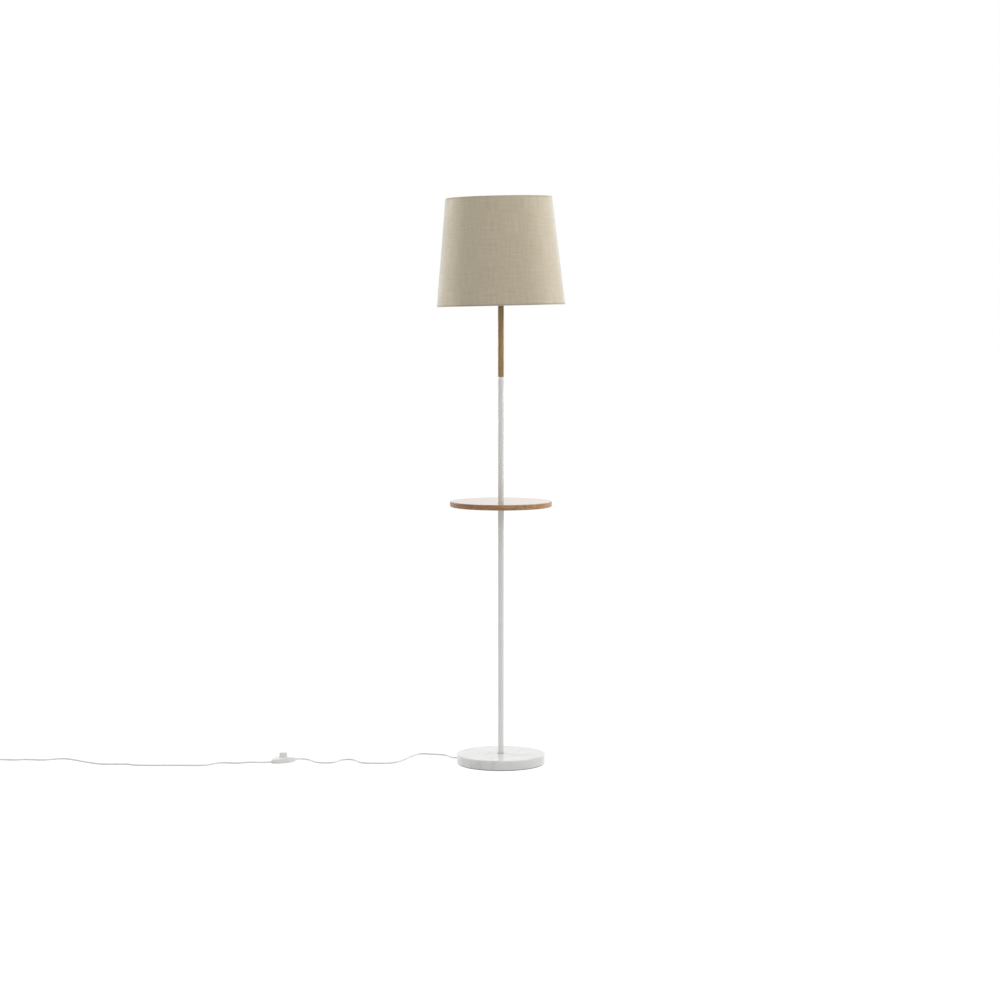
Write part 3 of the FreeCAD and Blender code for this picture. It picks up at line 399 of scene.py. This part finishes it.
def moulded_plastic(name, light, dark, roughness, grit):
    """A moulded thermoplastic: an even colour, and the fine spark-eroded texture of its
    mould, which softens its gloss."""
    material, tree, surface = new_material(name, light, roughness, IOR=1.5)
    at = add(tree, "TexCoord", {}).outputs["Object"]
    texture = add(tree, "TexNoise", {"Vector": at, "Scale": 1 / grit, "Detail": 2.0})
    bump = add(tree, "Bump", {"Height": texture.outputs["Fac"], "Strength": 0.2,
                              "Distance": 0.04 * MM})
    tree.links.new(bump.outputs[0], surface.inputs["Normal"])
    flow = add(tree, "TexNoise", {"Vector": at, "Scale": 1 / (30 * MM), "Detail": 2.0})
    tone = add(tree, "ValToRGB", {"Fac": flow.outputs["Fac"]}, stops=[(0.3, dark), (0.7, light)])
    tree.links.new(tone.outputs["Color"], surface.inputs["Base Color"])
    gloss = add(tree, "MapRange", {"Value": flow.outputs["Fac"], "To Min": roughness - 0.05,
                                   "To Max": roughness + 0.06})
    tree.links.new(gloss.outputs[0], surface.inputs["Roughness"])
    return material


def bare_metal(name, light, dark, roughness, grit, stretch=(1.0, 1.0, 1.0)):
    """A metal surface, plated, drawn or turned: it mirrors its surroundings through marks
    that are drawn out where stretch is small."""
    material, tree, surface = new_material(name, light, roughness, metallic=1.0)
    at = add(tree, "TexCoord", {}).outputs["Object"]
    run = add(tree, "VectorMath", {0: at, 1: stretch}, operation="MULTIPLY")
    marks = add(tree, "TexNoise", {"Vector": run.outputs[0], "Scale": 1 / grit, "Detail": 3.0})
    tone = add(tree, "ValToRGB", {"Fac": marks.outputs["Fac"]}, stops=[(0.3, dark), (0.7, light)])
    tree.links.new(tone.outputs["Color"], surface.inputs["Base Color"])
    worn = add(tree, "MapRange", {"Value": marks.outputs["Fac"], "To Min": roughness - 0.08,
                                  "To Max": roughness + 0.12})
    tree.links.new(worn.outputs[0], surface.inputs["Roughness"])
    bump = add(tree, "Bump", {"Height": marks.outputs["Fac"], "Strength": 0.15,
                              "Distance": 0.03 * MM})
    tree.links.new(bump.outputs[0], surface.inputs["Normal"])
    return material


def zinc_thread():
    """Zinc plated steel with a rolled thread: bright, cool grey, ringed along its axis, with
    painted shade darkening the thread's roots.
    """
    material, tree, surface = new_material("zinc_thread", "#b4b6b8", 0.35, metallic=1.0)
    at = add(tree, "TexCoord", {}).outputs["Object"]
    pitch = 1.0 * MM
    ridge = add(tree, "TexWave", {"Vector": at, "Scale": wave_scale(pitch)},
                wave_type="BANDS", bands_direction="Z")
    bump = add(tree, "Bump", {"Height": ridge.outputs["Fac"], "Strength": 0.8,
                              "Distance": 0.4 * MM})
    tree.links.new(bump.outputs[0], surface.inputs["Normal"])
    # painted shade: the roots of the thread are coloured darker than its crests
    root = add(tree, "ValToRGB", {"Fac": ridge.outputs["Fac"]},
               stops=[(0.1, "#77797b"), (0.8, "#bcbec0")])
    tree.links.new(root.outputs["Color"], surface.inputs["Base Color"])
    return material


def pressed_felt():
    """Grey wool felt: matted short fibres, no gloss at all."""
    material, tree, surface = new_material("pressed_felt", "#6f6e6c", 0.97, Sheen_Weight=0.4)
    at = add(tree, "TexCoord", {}).outputs["Object"]
    fibres = add(tree, "TexNoise", {"Vector": at, "Scale": 1 / (0.8 * MM), "Detail": 4.0,
                                    "Distortion": 1.5})
    tone = add(tree, "ValToRGB", {"Fac": fibres.outputs["Fac"]},
               stops=[(0.3, "#5c5b59"), (0.7, "#84827f")])
    tree.links.new(tone.outputs["Color"], surface.inputs["Base Color"])
    bump = add(tree, "Bump", {"Height": fibres.outputs["Fac"], "Strength": 0.8,
                              "Distance": 0.3 * MM})
    tree.links.new(bump.outputs[0], surface.inputs["Normal"])
    return material


def opal_glass():
    """Blown opal glass: milky white in depth under a smooth skin."""
    material, tree, surface = new_material(
        "opal_glass", "#efece4", 0.2, IOR=1.5, Coat_Weight=0.4)
    at = add(tree, "TexCoord", {}).outputs["Object"]
    depth = add(tree, "TexNoise", {"Vector": at, "Scale": 1 / (40 * MM), "Detail": 2.0})
    tone = add(tree, "ValToRGB", {"Fac": depth.outputs["Fac"]},
               stops=[(0.3, "#ebe7de"), (0.7, "#f3f0e9")])
    tree.links.new(tone.outputs["Color"], surface.inputs["Base Color"])
    return material


def glazed_steatite():
    """Porcelain core of the lampholder: cream white glaze with a few specks."""
    material, tree, surface = new_material("glazed_steatite", "#e9e5da", 0.18, IOR=1.5)
    at = add(tree, "TexCoord", {}).outputs["Object"]
    speck = add(tree, "TexNoise", {"Vector": at, "Scale": 1 / (1.2 * MM), "Detail": 1.0})
    tone = add(tree, "ValToRGB", {"Fac": speck.outputs["Fac"]},
               stops=[(0.22, "#c9c2b0"), (0.30, "#e9e5da"), (1.0, "#eeebe2")])
    tree.links.new(tone.outputs["Color"], surface.inputs["Base Color"])
    return material


MARBLE = polished_marble()
WHITE_STEEL = white_coat("powder_coat", "#e5e5e3", "#e0e0de", 0.5, 0.12)
WHITE_LACQUER = white_coat("stoved_lacquer", "#efefec", "#ebebe8", 0.22, 0.04)
TABLE_WOOD = lacquered_top()
POLE_WOOD = turned_pole_wood()
LINEN = woven_linen("woven_linen", "#b4a992", "#beb39d", "#c9bea9")
# the rolled hems' tape: a greyer linen, made darker still as painted shade along the shade's rims
HEM_TAPE_SHADED = woven_linen("hem_tape_shaded", "#999184", "#a2998b", "#ada496")
LINING = lining_film()
CORD_PVC = moulded_plastic("cord_pvc", "#ececea", "#e4e4e2", 0.42, 0.5 * MM)
PLUG_PVC = moulded_plastic("plug_pvc", "#e4e4e2", "#dbdbd9", 0.40, 0.6 * MM)
SWITCH_ABS = moulded_plastic("switch_abs", "#eaeae8", "#e3e3e1", 0.30, 0.5 * MM)
PEDAL_ABS = moulded_plastic("pedal_abs", "#e4e4e2", "#dcdcda", 0.34, 0.7 * MM)
HOLDER_PBT = moulded_plastic("holder_pbt", "#e4e3de", "#dcdbd6", 0.38, 0.6 * MM)
TIE_PLASTIC = moulded_plastic("tie_plastic", "#cfcfcd", "#c2c2c0", 0.5, 0.8 * MM)
RING_EPOXY = moulded_plastic("ring_epoxy", "#e2e1dc", "#dad9d4", 0.36, 1.0 * MM)
ZINC = bare_metal("zinc_plate", "#bcbec0", "#9fa1a3", 0.32, 1.5 * MM)
THREAD = zinc_thread()
BRASS = bare_metal("turned_brass", "#c8a463", "#ab8748", 0.30, 1.2 * MM, (0.2, 0.2, 1.0))
NICKEL = bare_metal("nickel_plate", "#cfccc4", "#c2bfb7", 0.22, 0.5 * MM, (0.1, 1.0, 1.0))
SPRING_WIRE = bare_metal("spring_wire", "#a4a5a7", "#86878a", 0.34, 1.0 * MM)
ALUMINIUM = bare_metal("rolled_aluminium", "#cfd0d2", "#b3b4b7", 0.30, 1.0 * MM)
FELT = pressed_felt()
OPAL = opal_glass()
PORCELAIN = glazed_steatite()
# grey of the ring at the pole's foot: painted shade for the contact line
FOOT_SHADE_GREY = moulded_plastic("foot_shade_grey", "#c2c2c0", "#b9b9b7", 0.7, 0.6 * MM)

NODE_FINISHES = {
    "base_slab": MARBLE, "base_rod": THREAD, "base_washer": ZINC, "base_nut": ZINC,
    "cord_bushing": CORD_PVC, "lower_tube": WHITE_STEEL, "lower_tube_foot_insert": BRASS,
    "lower_tube_top_insert": BRASS, "table_flange": WHITE_STEEL, "table_screws": ZINC,
    "table_top": TABLE_WOOD, "table_rod": THREAD, "upper_tube": WHITE_STEEL,
    "upper_tube_insert": BRASS, "pole_ferrule": WHITE_LACQUER, "wood_pole": POLE_WOOD,
    "inner_cord": CORD_PVC, "coil_tie": TIE_PLASTIC, "plug_pins": NICKEL, "head_rod": THREAD,
    "head_seat": WHITE_STEEL, "lampholder_cap": HOLDER_PBT, "head_nut": ZINC,
    "lampholder_body": HOLDER_PBT, "lampholder_core": PORCELAIN, "lampholder_shell": BRASS,
    "centre_contact": BRASS, "bulb_cap": ALUMINIUM, "bulb_glass": OPAL,
    "shade_carrier": RING_EPOXY, "shade_ring_nut": HOLDER_PBT, "shade_top_ring": RING_EPOXY,
    "switch_base": SWITCH_ABS, "switch_cover": SWITCH_ABS, "switch_screws": ZINC,
    "switch_core": PEDAL_ABS, "switch_spring": SPRING_WIRE, "switch_button": PEDAL_ABS,
    "switch_reliefs": CORD_PVC, "switch_leads": CORD_PVC, "base_pad": FELT,
    "shade_skin": LINEN, "cord_lamp_side": CORD_PVC, "cord_wall_side": CORD_PVC,
    "cord_coil": CORD_PVC, "plug_body": PLUG_PVC,
}
for name, finish in NODE_FINISHES.items():
    nodes[name].data.materials.clear()
    nodes[name].data.materials.append(finish)


# ---------------------------------------------------------------- making pieces
def deselect_all():
    """Leaves edit mode with nothing selected, as an operator acts on all that is."""
    if bpy.context.object and bpy.context.object.mode == "EDIT":
        bpy.ops.object.mode_set(mode="OBJECT")
    bpy.ops.object.select_all(action="DESELECT")


def activate(piece):
    """Selects one piece alone."""
    deselect_all()
    piece.select_set(True)
    bpy.context.view_layer.objects.active = piece


def select_parts(piece, kind, wanted):
    """Opens a piece in edit mode with those vertices, edges or faces selected that are wanted."""
    activate(piece)
    bpy.ops.object.mode_set(mode="EDIT")
    bpy.ops.mesh.select_mode(type=kind)
    bpy.ops.mesh.select_all(action="DESELECT")
    bpy.ops.object.mode_set(mode="OBJECT")
    mesh = piece.data
    for part in {"VERT": mesh.vertices, "EDGE": mesh.edges, "FACE": mesh.polygons}[kind]:
        part.select = wanted(part)
    bpy.ops.object.mode_set(mode="EDIT")


def cut_in_rows(piece, axis, length, rows):
    """Cuts the long edges that run along an axis, 0 for X and 2 for Z, into equal rows."""
    points = piece.data.vertices
    select_parts(piece, "EDGE", lambda edge: abs(
        points[edge.vertices[0]].co[axis] - points[edge.vertices[1]].co[axis]) > length / 2)
    bpy.ops.mesh.subdivide(number_cuts=rows - 1)
    bpy.ops.object.mode_set(mode="OBJECT")


def modify(piece, kind, **settings):
    """Adds a modifier and applies it."""
    activate(piece)
    modifier = piece.modifiers.new(kind.lower(), kind)
    for name, value in settings.items():
        setattr(modifier, name, value)
    bpy.ops.object.modifier_apply(modifier=modifier.name)


def roughen(piece, name, size, **settings):
    """Pushes a piece's surface in and out by a soft noise whose lumps have a size."""
    noise = bpy.data.textures.new(name, "CLOUDS")
    noise.noise_scale = size
    modify(piece, "DISPLACE", texture=noise, texture_coords="LOCAL", **settings)


def settle(piece, name, finish=None):
    """Puts a piece's place into its mesh, and gives it its name, finish and body."""
    activate(piece)
    bpy.ops.object.transform_apply(location=True, rotation=True, scale=True)
    piece.name = name
    piece.data.name = name
    if finish:
        piece.data.materials.clear()
        piece.data.materials.append(finish)
    bpy.ops.object.shade_smooth_by_angle(angle=SMOOTH_ANGLE)
    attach(piece, "lamp")
    return piece


def copy_node(name):
    """A free copy of a CAD node, with its loose triangles joined up."""
    piece = nodes[name].copy()
    piece.data = nodes[name].data.copy()
    piece.parent = None
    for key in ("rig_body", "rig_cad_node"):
        del piece[key]
    bpy.context.scene.collection.objects.link(piece)
    select_parts(piece, "FACE", lambda face: True)
    bpy.ops.mesh.remove_doubles(threshold=0.01 * MM)
    bpy.ops.object.mode_set(mode="OBJECT")
    return piece


def stand_in_head(piece):
    """Leans an upright piece with the lampholder and sets it on top of the pole."""
    piece.matrix_world = HEAD @ piece.matrix_world


# ---------------------------------------------------------------- shade
def shade_cone():
    """The cover's outside as an open cone in the head's upright frame, in rows of small
    faces."""
    deselect_all()
    bpy.ops.mesh.primitive_cone_add(
        vertices=SHADE_SIDES, radius1=SHADE_BOTTOM_RADIUS, radius2=SHADE_TOP_RADIUS,
        depth=SHADE_HEIGHT, end_fill_type="NOTHING",
        location=(0, 0, SHADE_LOW + SHADE_HEIGHT / 2))
    cone = bpy.context.object
    bpy.ops.object.transform_apply(location=True)
    cut_in_rows(cone, 2, SHADE_HEIGHT, SHADE_ROWS)
    return cone


def lay_out_cloth(piece):
    """The piece's UV map holds the cut cloth's own flat coordinates in metres: a cone opens
    to a sector."""
    slant = math.hypot(SHADE_HEIGHT, SHADE_BOTTOM_RADIUS - SHADE_TOP_RADIUS)
    apex_share = SHADE_BOTTOM_RADIUS / (SHADE_BOTTOM_RADIUS - SHADE_TOP_RADIUS)
    opening = (SHADE_BOTTOM_RADIUS - SHADE_TOP_RADIUS) / slant
    layer = piece.data.uv_layers.new(name="cloth")
    for face in piece.data.polygons:
        middle = math.atan2(face.center.x, -face.center.y)
        for loop in face.loop_indices:
            point = piece.data.vertices[piece.data.loops[loop].vertex_index].co
            turn = math.atan2(point.x, -point.y)
            if turn - middle > math.pi:
                turn -= 2 * math.pi
            elif turn - middle < -math.pi:
                turn += 2 * math.pi
            reach = slant * (apex_share - (point.z - SHADE_LOW) / SHADE_HEIGHT)
            spread = turn * opening
            layer.data[loop].uv = (reach * math.sin(spread), -reach * math.cos(spread))


def shade_cover():
    """Linen on its lining, stretched between the two rings. The glue line lets it waver."""
    cover = shade_cone()
    roughen(cover, "waver", 70 * MM, strength=SHADE_WAVER, mid_level=0.5)
    lay_out_cloth(cover)
    cover.data.materials.append(LINEN)
    cover.data.materials.append(LINING)
    modify(cover, "SOLIDIFY", thickness=SHADE_WALL, offset=-1.0, material_offset=1)
    stand_in_head(cover)
    settle(cover, "shade_cover")
    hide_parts("shade_skin")
    return cover


def shade_seam():
    """The overlap where the cover is glued to itself, up the side away from the viewer."""
    seam = shade_cone()
    half = SEAM_WIDTH / 2 / SHADE_TOP_RADIUS
    select_parts(seam, "FACE",
                 lambda face: abs(math.atan2(face.center.x, face.center.y)) > half)
    bpy.ops.mesh.delete(type="FACE")
    bpy.ops.object.mode_set(mode="OBJECT")
    lay_out_cloth(seam)
    modify(seam, "SOLIDIFY", thickness=SEAM_THICKNESS, offset=1.0)
    modify(seam, "BEVEL", width=0.2 * MM, segments=2, limit_method="ANGLE")
    stand_in_head(seam)
    return settle(seam, "shade_seam", LINEN)


def shade_hem(name, height, side):
    """Linen rolled round a ring's wire: an oval roll that stands a little proud of the cover."""
    share = (height - SHADE_LOW) / SHADE_HEIGHT
    radius = SHADE_BOTTOM_RADIUS + (SHADE_TOP_RADIUS - SHADE_BOTTOM_RADIUS) * share
    middle = height + side * HEM_HEIGHT / 2
    deselect_all()
    bpy.ops.mesh.primitive_torus_add(
        major_radius=radius - HEM_ROLL + HEM_PROUD, minor_radius=HEM_ROLL,
        major_segments=SHADE_SIDES, minor_segments=16, location=(0, 0, middle))
    hem = bpy.context.object
    bpy.ops.object.transform_apply(location=True)
    select_parts(hem, "VERT", lambda point: True)
    bpy.ops.transform.resize(value=(1, 1, HEM_HEIGHT / 2 / HEM_ROLL))
    bpy.ops.object.mode_set(mode="OBJECT")
    lay_out_cloth(hem)
    roughen(hem, name, 12 * MM, strength=HEM_CREASE, mid_level=0.6)
    stand_in_head(hem)
    return settle(hem, name, HEM_TAPE_SHADED)


# ---------------------------------------------------------------- cord
def coil_point(quarter, widen=1.0):
    """A point of the coil, by quarter turns: in on the lower layer, up in the half turn at the
    reverse, and out on the upper layer."""
    radius = COIL_RADIUS - COIL_PITCH / 4 * (COIL_REVERSE - abs(quarter - COIL_REVERSE))
    share = min(max((quarter - COIL_REVERSE + 1) / 2, 0.0), 1.0)
    rise = share * share * (3 - 2 * share)
    angle = math.pi / 2 * (1 + quarter)
    flat = Vector((math.cos(angle), math.sin(angle), 0)) * radius * widen
    return COIL_CENTRE + flat + Vector((0, 0, COIL_LOW + COIL_LAYER * rise))


def coil_route():
    """The coil's points stand outside its line, so that the smooth spline touches it between
    them."""
    step = 1 / COIL_POINTS
    widen = 1 / math.cos(math.pi / 4 * step)
    count = 2 * COIL_REVERSE * COIL_POINTS
    return [coil_point((k + 0.5) * step, widen) for k in range(count)]


def coil_end_route():
    """From the top of the coil down to the plug's axis."""
    top = coil_point(2 * COIL_REVERSE)
    level = [top + Vector((-reach, 0, 0)) for reach in (0.012, 0.017)]
    low = [Vector((top.x - reach, PLUG_AXIS.y, PLUG_AXIS.z)) for reach in (0.027, 0.032)]
    return level + low + [Vector((PLUG_TIP_X, PLUG_AXIS.y, PLUG_AXIS.z))]


def cord_along(name, route):
    """A round cord on one smooth curve through the bends of its route."""
    line = bpy.data.curves.new(name, "CURVE")
    line.dimensions = "3D"
    line.bevel_depth = CORD_DIAMETER / 2
    line.bevel_resolution = 5
    line.resolution_u = 10
    line.use_fill_caps = True
    spline = line.splines.new("NURBS")
    spline.points.add(len(route) - 1)
    for point, place in zip(spline.points, route):
        point.co = (*place, 1.0)
    spline.order_u = 3
    spline.use_endpoint_u = True
    line.materials.append(CORD_PVC)
    cord = bpy.data.objects.new(name, line)
    bpy.context.scene.collection.objects.link(cord)
    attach(cord, "lamp")
    return cord


# ---------------------------------------------------------------- switch
def return_spring():
    """The wound spring under the pedal, on a mesh of its own."""
    spring = settle(copy_node("switch_spring"), "return_spring", SPRING_WIRE)
    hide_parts("switch_spring")
    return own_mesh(spring)


# ---------------------------------------------------------------- plug
def plug_housing():
    """Moulded flat plug: full width at the face, drawn in to the cord, with a sunk grip on
    each side."""
    deselect_all()
    bpy.ops.mesh.primitive_cube_add(
        size=1, location=(PLUG_FACE_X + PLUG_SHOULDER / 2, PLUG_AXIS.y, PLUG_HEIGHT / 2))
    plug = bpy.context.object
    plug.scale = (PLUG_SHOULDER, PLUG_WIDTH, PLUG_HEIGHT)
    bpy.ops.object.transform_apply(location=True, scale=True)
    taper = PLUG_LENGTH - PLUG_SHOULDER
    select_parts(plug, "FACE", lambda face: face.normal.x > 0.9)
    bpy.ops.mesh.extrude_region_move(TRANSFORM_OT_translate={"value": (taper, 0, 0)})
    bpy.ops.transform.resize(value=(1, PLUG_NECK / PLUG_WIDTH, 1))
    bpy.ops.object.mode_set(mode="OBJECT")
    modify(plug, "BEVEL", width=PLUG_ROUNDING, segments=4, limit_method="ANGLE",
           angle_limit=math.radians(20))
    select_parts(plug, "FACE", lambda face: (
        abs(face.normal.z) > 0.99 and face.area > PLUG_NECK * PLUG_SHOULDER
        and face.center.x > PLUG_FACE_X + PLUG_SHOULDER))
    bpy.ops.mesh.inset(thickness=GRIP_MARGIN, depth=0)
    bpy.ops.mesh.inset(thickness=GRIP_SLOPE, depth=-GRIP_DEPTH)
    bpy.ops.object.mode_set(mode="OBJECT")
    settle(plug, "plug_housing", PLUG_PVC)
    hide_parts("plug_body")
    return plug


def plug_relief():
    """Ribbed strain relief between the plug and the cord: every fourth ring is a groove."""
    deselect_all()
    bpy.ops.mesh.primitive_cone_add(
        vertices=48, radius1=4.5 * MM, radius2=3.5 * MM, depth=RELIEF_LENGTH,
        rotation=(0, math.pi / 2, 0),
        location=(RELIEF_X + RELIEF_LENGTH / 2, PLUG_AXIS.y, PLUG_AXIS.z))
    relief = bpy.context.object
    bpy.ops.object.transform_apply(location=True, rotation=True)
    cut_in_rows(relief, 0, RELIEF_LENGTH, RELIEF_ROWS)
    select_parts(relief, "VERT", lambda point: round(
        (point.co.x - RELIEF_X) / RELIEF_LENGTH * RELIEF_ROWS) % 4 == 2)
    bpy.ops.transform.resize(value=(1, RELIEF_GROOVE, RELIEF_GROOVE))
    bpy.ops.object.mode_set(mode="OBJECT")
    modify(relief, "BEVEL", width=0.3 * MM, segments=2, limit_method="ANGLE",
           angle_limit=math.radians(12))
    return settle(relief, "plug_relief", PLUG_PVC)


def tie_twist():
    """The twisted ends of the wire tie round the coil."""
    low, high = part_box("coil_tie")
    length = TWIST_SIZE[0]
    deselect_all()
    bpy.ops.mesh.primitive_cube_add(size=1)
    twist = bpy.context.object
    twist.scale = TWIST_SIZE
    bpy.ops.object.transform_apply(scale=True)
    cut_in_rows(twist, 0, length, TWIST_ROWS)
    modify(twist, "SIMPLE_DEFORM", deform_method="TWIST", deform_axis="X", angle=TWIST_TURN)
    twist.location = ((low.x + high.x) / 2 + length / 2 + 1 * MM, low.y + 2 * MM,
                      high.z - 1 * MM)
    twist.rotation_euler = TWIST_TILT
    return settle(twist, "tie_twist", TIE_PLASTIC)


# ---------------------------------------------------------------- foot
def foot_shade_ring():
    """Grey ring round the foot of the tube on the stone: painted shade along the dark line where
    the pole meets the foot.
    """
    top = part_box("base_slab")[1].z
    deselect_all()
    bpy.ops.mesh.primitive_cylinder_add(
        vertices=64, radius=POLE_RADIUS + FOOT_RING_WALL, depth=FOOT_RING_HEIGHT,
        location=(0, 0, top + FOOT_RING_HEIGHT / 2))
    dark_ring = bpy.context.object
    bpy.ops.object.transform_apply(location=True)
    select_parts(dark_ring, "FACE", lambda face: abs(face.normal.z) > 0.9)
    bpy.ops.mesh.inset(thickness=FOOT_RING_WALL - FOOT_RING_LIP, depth=0)
    bpy.ops.mesh.delete(type="FACE")
    bpy.ops.mesh.select_mode(type="EDGE")
    bpy.ops.mesh.select_non_manifold()
    bpy.ops.mesh.bridge_edge_loops()
    bpy.ops.object.mode_set(mode="OBJECT")
    modify(dark_ring, "BEVEL", width=0.25 * MM, segments=3, limit_method="ANGLE")
    settle(dark_ring, "foot_shade_ring", FOOT_SHADE_GREY)


def felt_pad():
    """Felt glued under the foot, its cut edge a little furred."""
    pad = copy_node("base_pad")
    select_parts(pad, "FACE", lambda face: True)
    bpy.ops.mesh.subdivide(number_cuts=1)
    bpy.ops.object.mode_set(mode="OBJECT")
    roughen(pad, "fur", 4 * MM, strength=FELT_FUR, mid_level=0.9)
    settle(pad, "felt_pad", FELT)
    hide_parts("base_pad")


# ---------------------------------------------------------------- the pieces
cover = shade_cover()
seam = shade_seam()
top_hem = shade_hem("shade_top_hem", SHADE_LOW + SHADE_HEIGHT, -1)
bottom_hem = shade_hem("shade_bottom_hem", SHADE_LOW, 1)

felt_pad()
foot_shade_ring()

lamp_cord = cord_along("lamp_cord", LAMP_CORD_ROUTE)
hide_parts("cord_lamp_side")
return_spring()

plug = plug_housing()
relief = plug_relief()
twist = tie_twist()
wall_cord = cord_along("wall_cord", WALL_CORD_ROUTE + coil_route() + coil_end_route())
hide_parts("cord_wall_side", "cord_coil")


# ---------------------------------------------------------------- studio
def seen_rays(tree):
    """1 for a ray that the eye, a gloss or glass sends, and 0 for one that only carries light."""
    path = add(tree, "LightPath", {})
    mirrored = add(tree, "Math", {0: path.outputs["Is Camera Ray"],
                                  1: path.outputs["Is Glossy Ray"]}, operation="MAXIMUM")
    through = add(tree, "Math", {0: mirrored.outputs[0],
                                 1: path.outputs["Is Transmission Ray"]}, operation="MAXIMUM")
    return through.outputs[0]


def studio_floor():
    """White floor: it shows white to the eye and in reflections, and takes a faint shadow.
    Its glow and the light on its faint grey add up to white, and a shadow takes the grey."""
    deselect_all()
    bpy.ops.mesh.primitive_plane_add(size=60, location=(0, 0, -0.2 * MM))
    floor = bpy.context.object
    floor.name = "studio_floor"
    material = bpy.data.materials.new("studio_white")
    material.use_nodes = True
    tree = material.node_tree
    tree.nodes.clear()
    glow = add(tree, "Emission", {"Color": (1, 1, 1, 1), "Strength": 0.88})
    faint = add(tree, "BsdfDiffuse", {"Color": (0.26, 0.26, 0.26, 1)})
    shown = add(tree, "AddShader", {0: glow.outputs[0], 1: faint.outputs[0]})
    paper = add(tree, "BsdfDiffuse", {"Color": (0.63, 0.63, 0.63, 1)})
    mixed = add(tree, "MixShader", {0: seen_rays(tree), 1: paper.outputs[0],
                                    2: shown.outputs[0]})
    add(tree, "OutputMaterial", {"Surface": mixed.outputs[0]})
    floor.data.materials.append(material)


def studio_world(strength):
    """Even soft light all round, and plain white behind the lamp."""
    world = bpy.data.worlds.new("studio")
    bpy.context.scene.world = world
    world.use_nodes = True
    tree = world.node_tree
    tree.nodes.clear()
    soft = add(tree, "Background", {"Color": (1, 1, 1, 1), "Strength": strength})
    white = add(tree, "Background", {"Color": (1, 1, 1, 1), "Strength": 1.0})
    mixed = add(tree, "MixShader", {0: seen_rays(tree), 1: soft.outputs[0],
                                    2: white.outputs[0]})
    add(tree, "OutputWorld", {"Surface": mixed.outputs[0]})


def softbox(name, place, aim, size, power, fan=180, in_gloss=False):
    """A large soft lamp that points at the aim. A grid narrows its fan of light, in degrees.
    Gloss shows the white studio and not the lamp itself, unless asked."""
    light = bpy.data.lights.new(name, "AREA")
    light.shape = "RECTANGLE"
    light.size, light.size_y = size
    light.energy = power
    light.spread = math.radians(fan)
    lamp = bpy.data.objects.new(name, light)
    lamp.location = place
    lamp.rotation_euler = (Vector(aim) - Vector(place)).to_track_quat("-Z", "Y").to_euler()
    lamp.visible_glossy = in_gloss
    bpy.context.scene.collection.objects.link(lamp)


def studio_camera():
    """The photograph's own viewpoint, worked out from the foot, the table and the shade."""
    view = bpy.data.cameras.new("camera")
    view.sensor_width = 36.0
    view.lens = CAMERA_LENS
    camera = bpy.data.objects.new("camera", view)
    camera.location = CAMERA_PLACE
    camera.rotation_euler = (math.radians(90 - CAMERA_DOWN), 0, 0)
    bpy.context.scene.collection.objects.link(camera)
    bpy.context.scene.camera = camera


studio_floor()
studio_world(strength=0.55)
softbox("back_right", (3.08, 1.44, 2.0), UPPER_POLE, size=(1.2, 1.8), power=38)
softbox("side_right", (3.35, -0.59, 2.0), UPPER_POLE, size=(1.4, 1.8), power=17)
softbox("back_left", (-2.78, 1.95, 2.0), UPPER_POLE, size=(1.2, 1.8), power=58)
softbox("shade_left", (-2.78, 1.95, 1.9), SHADE_MIDDLE, size=(0.7, 0.7), power=0.7, fan=20,
        in_gloss=True)
softbox("shade_right", (3.15, 1.27, 1.9), SHADE_MIDDLE, size=(0.7, 0.7), power=0.7, fan=20,
        in_gloss=True)
softbox("overhead", (0.2, -0.3, 3.4), FOOT, size=(2.4, 2.4), power=33)
softbox("front_fill", (1.5, -7.6, 2.6), LAMP_MIDDLE, size=(3.0, 3.0), power=66)
studio_camera()
bpy.context.scene.view_settings.view_transform = "Standard"
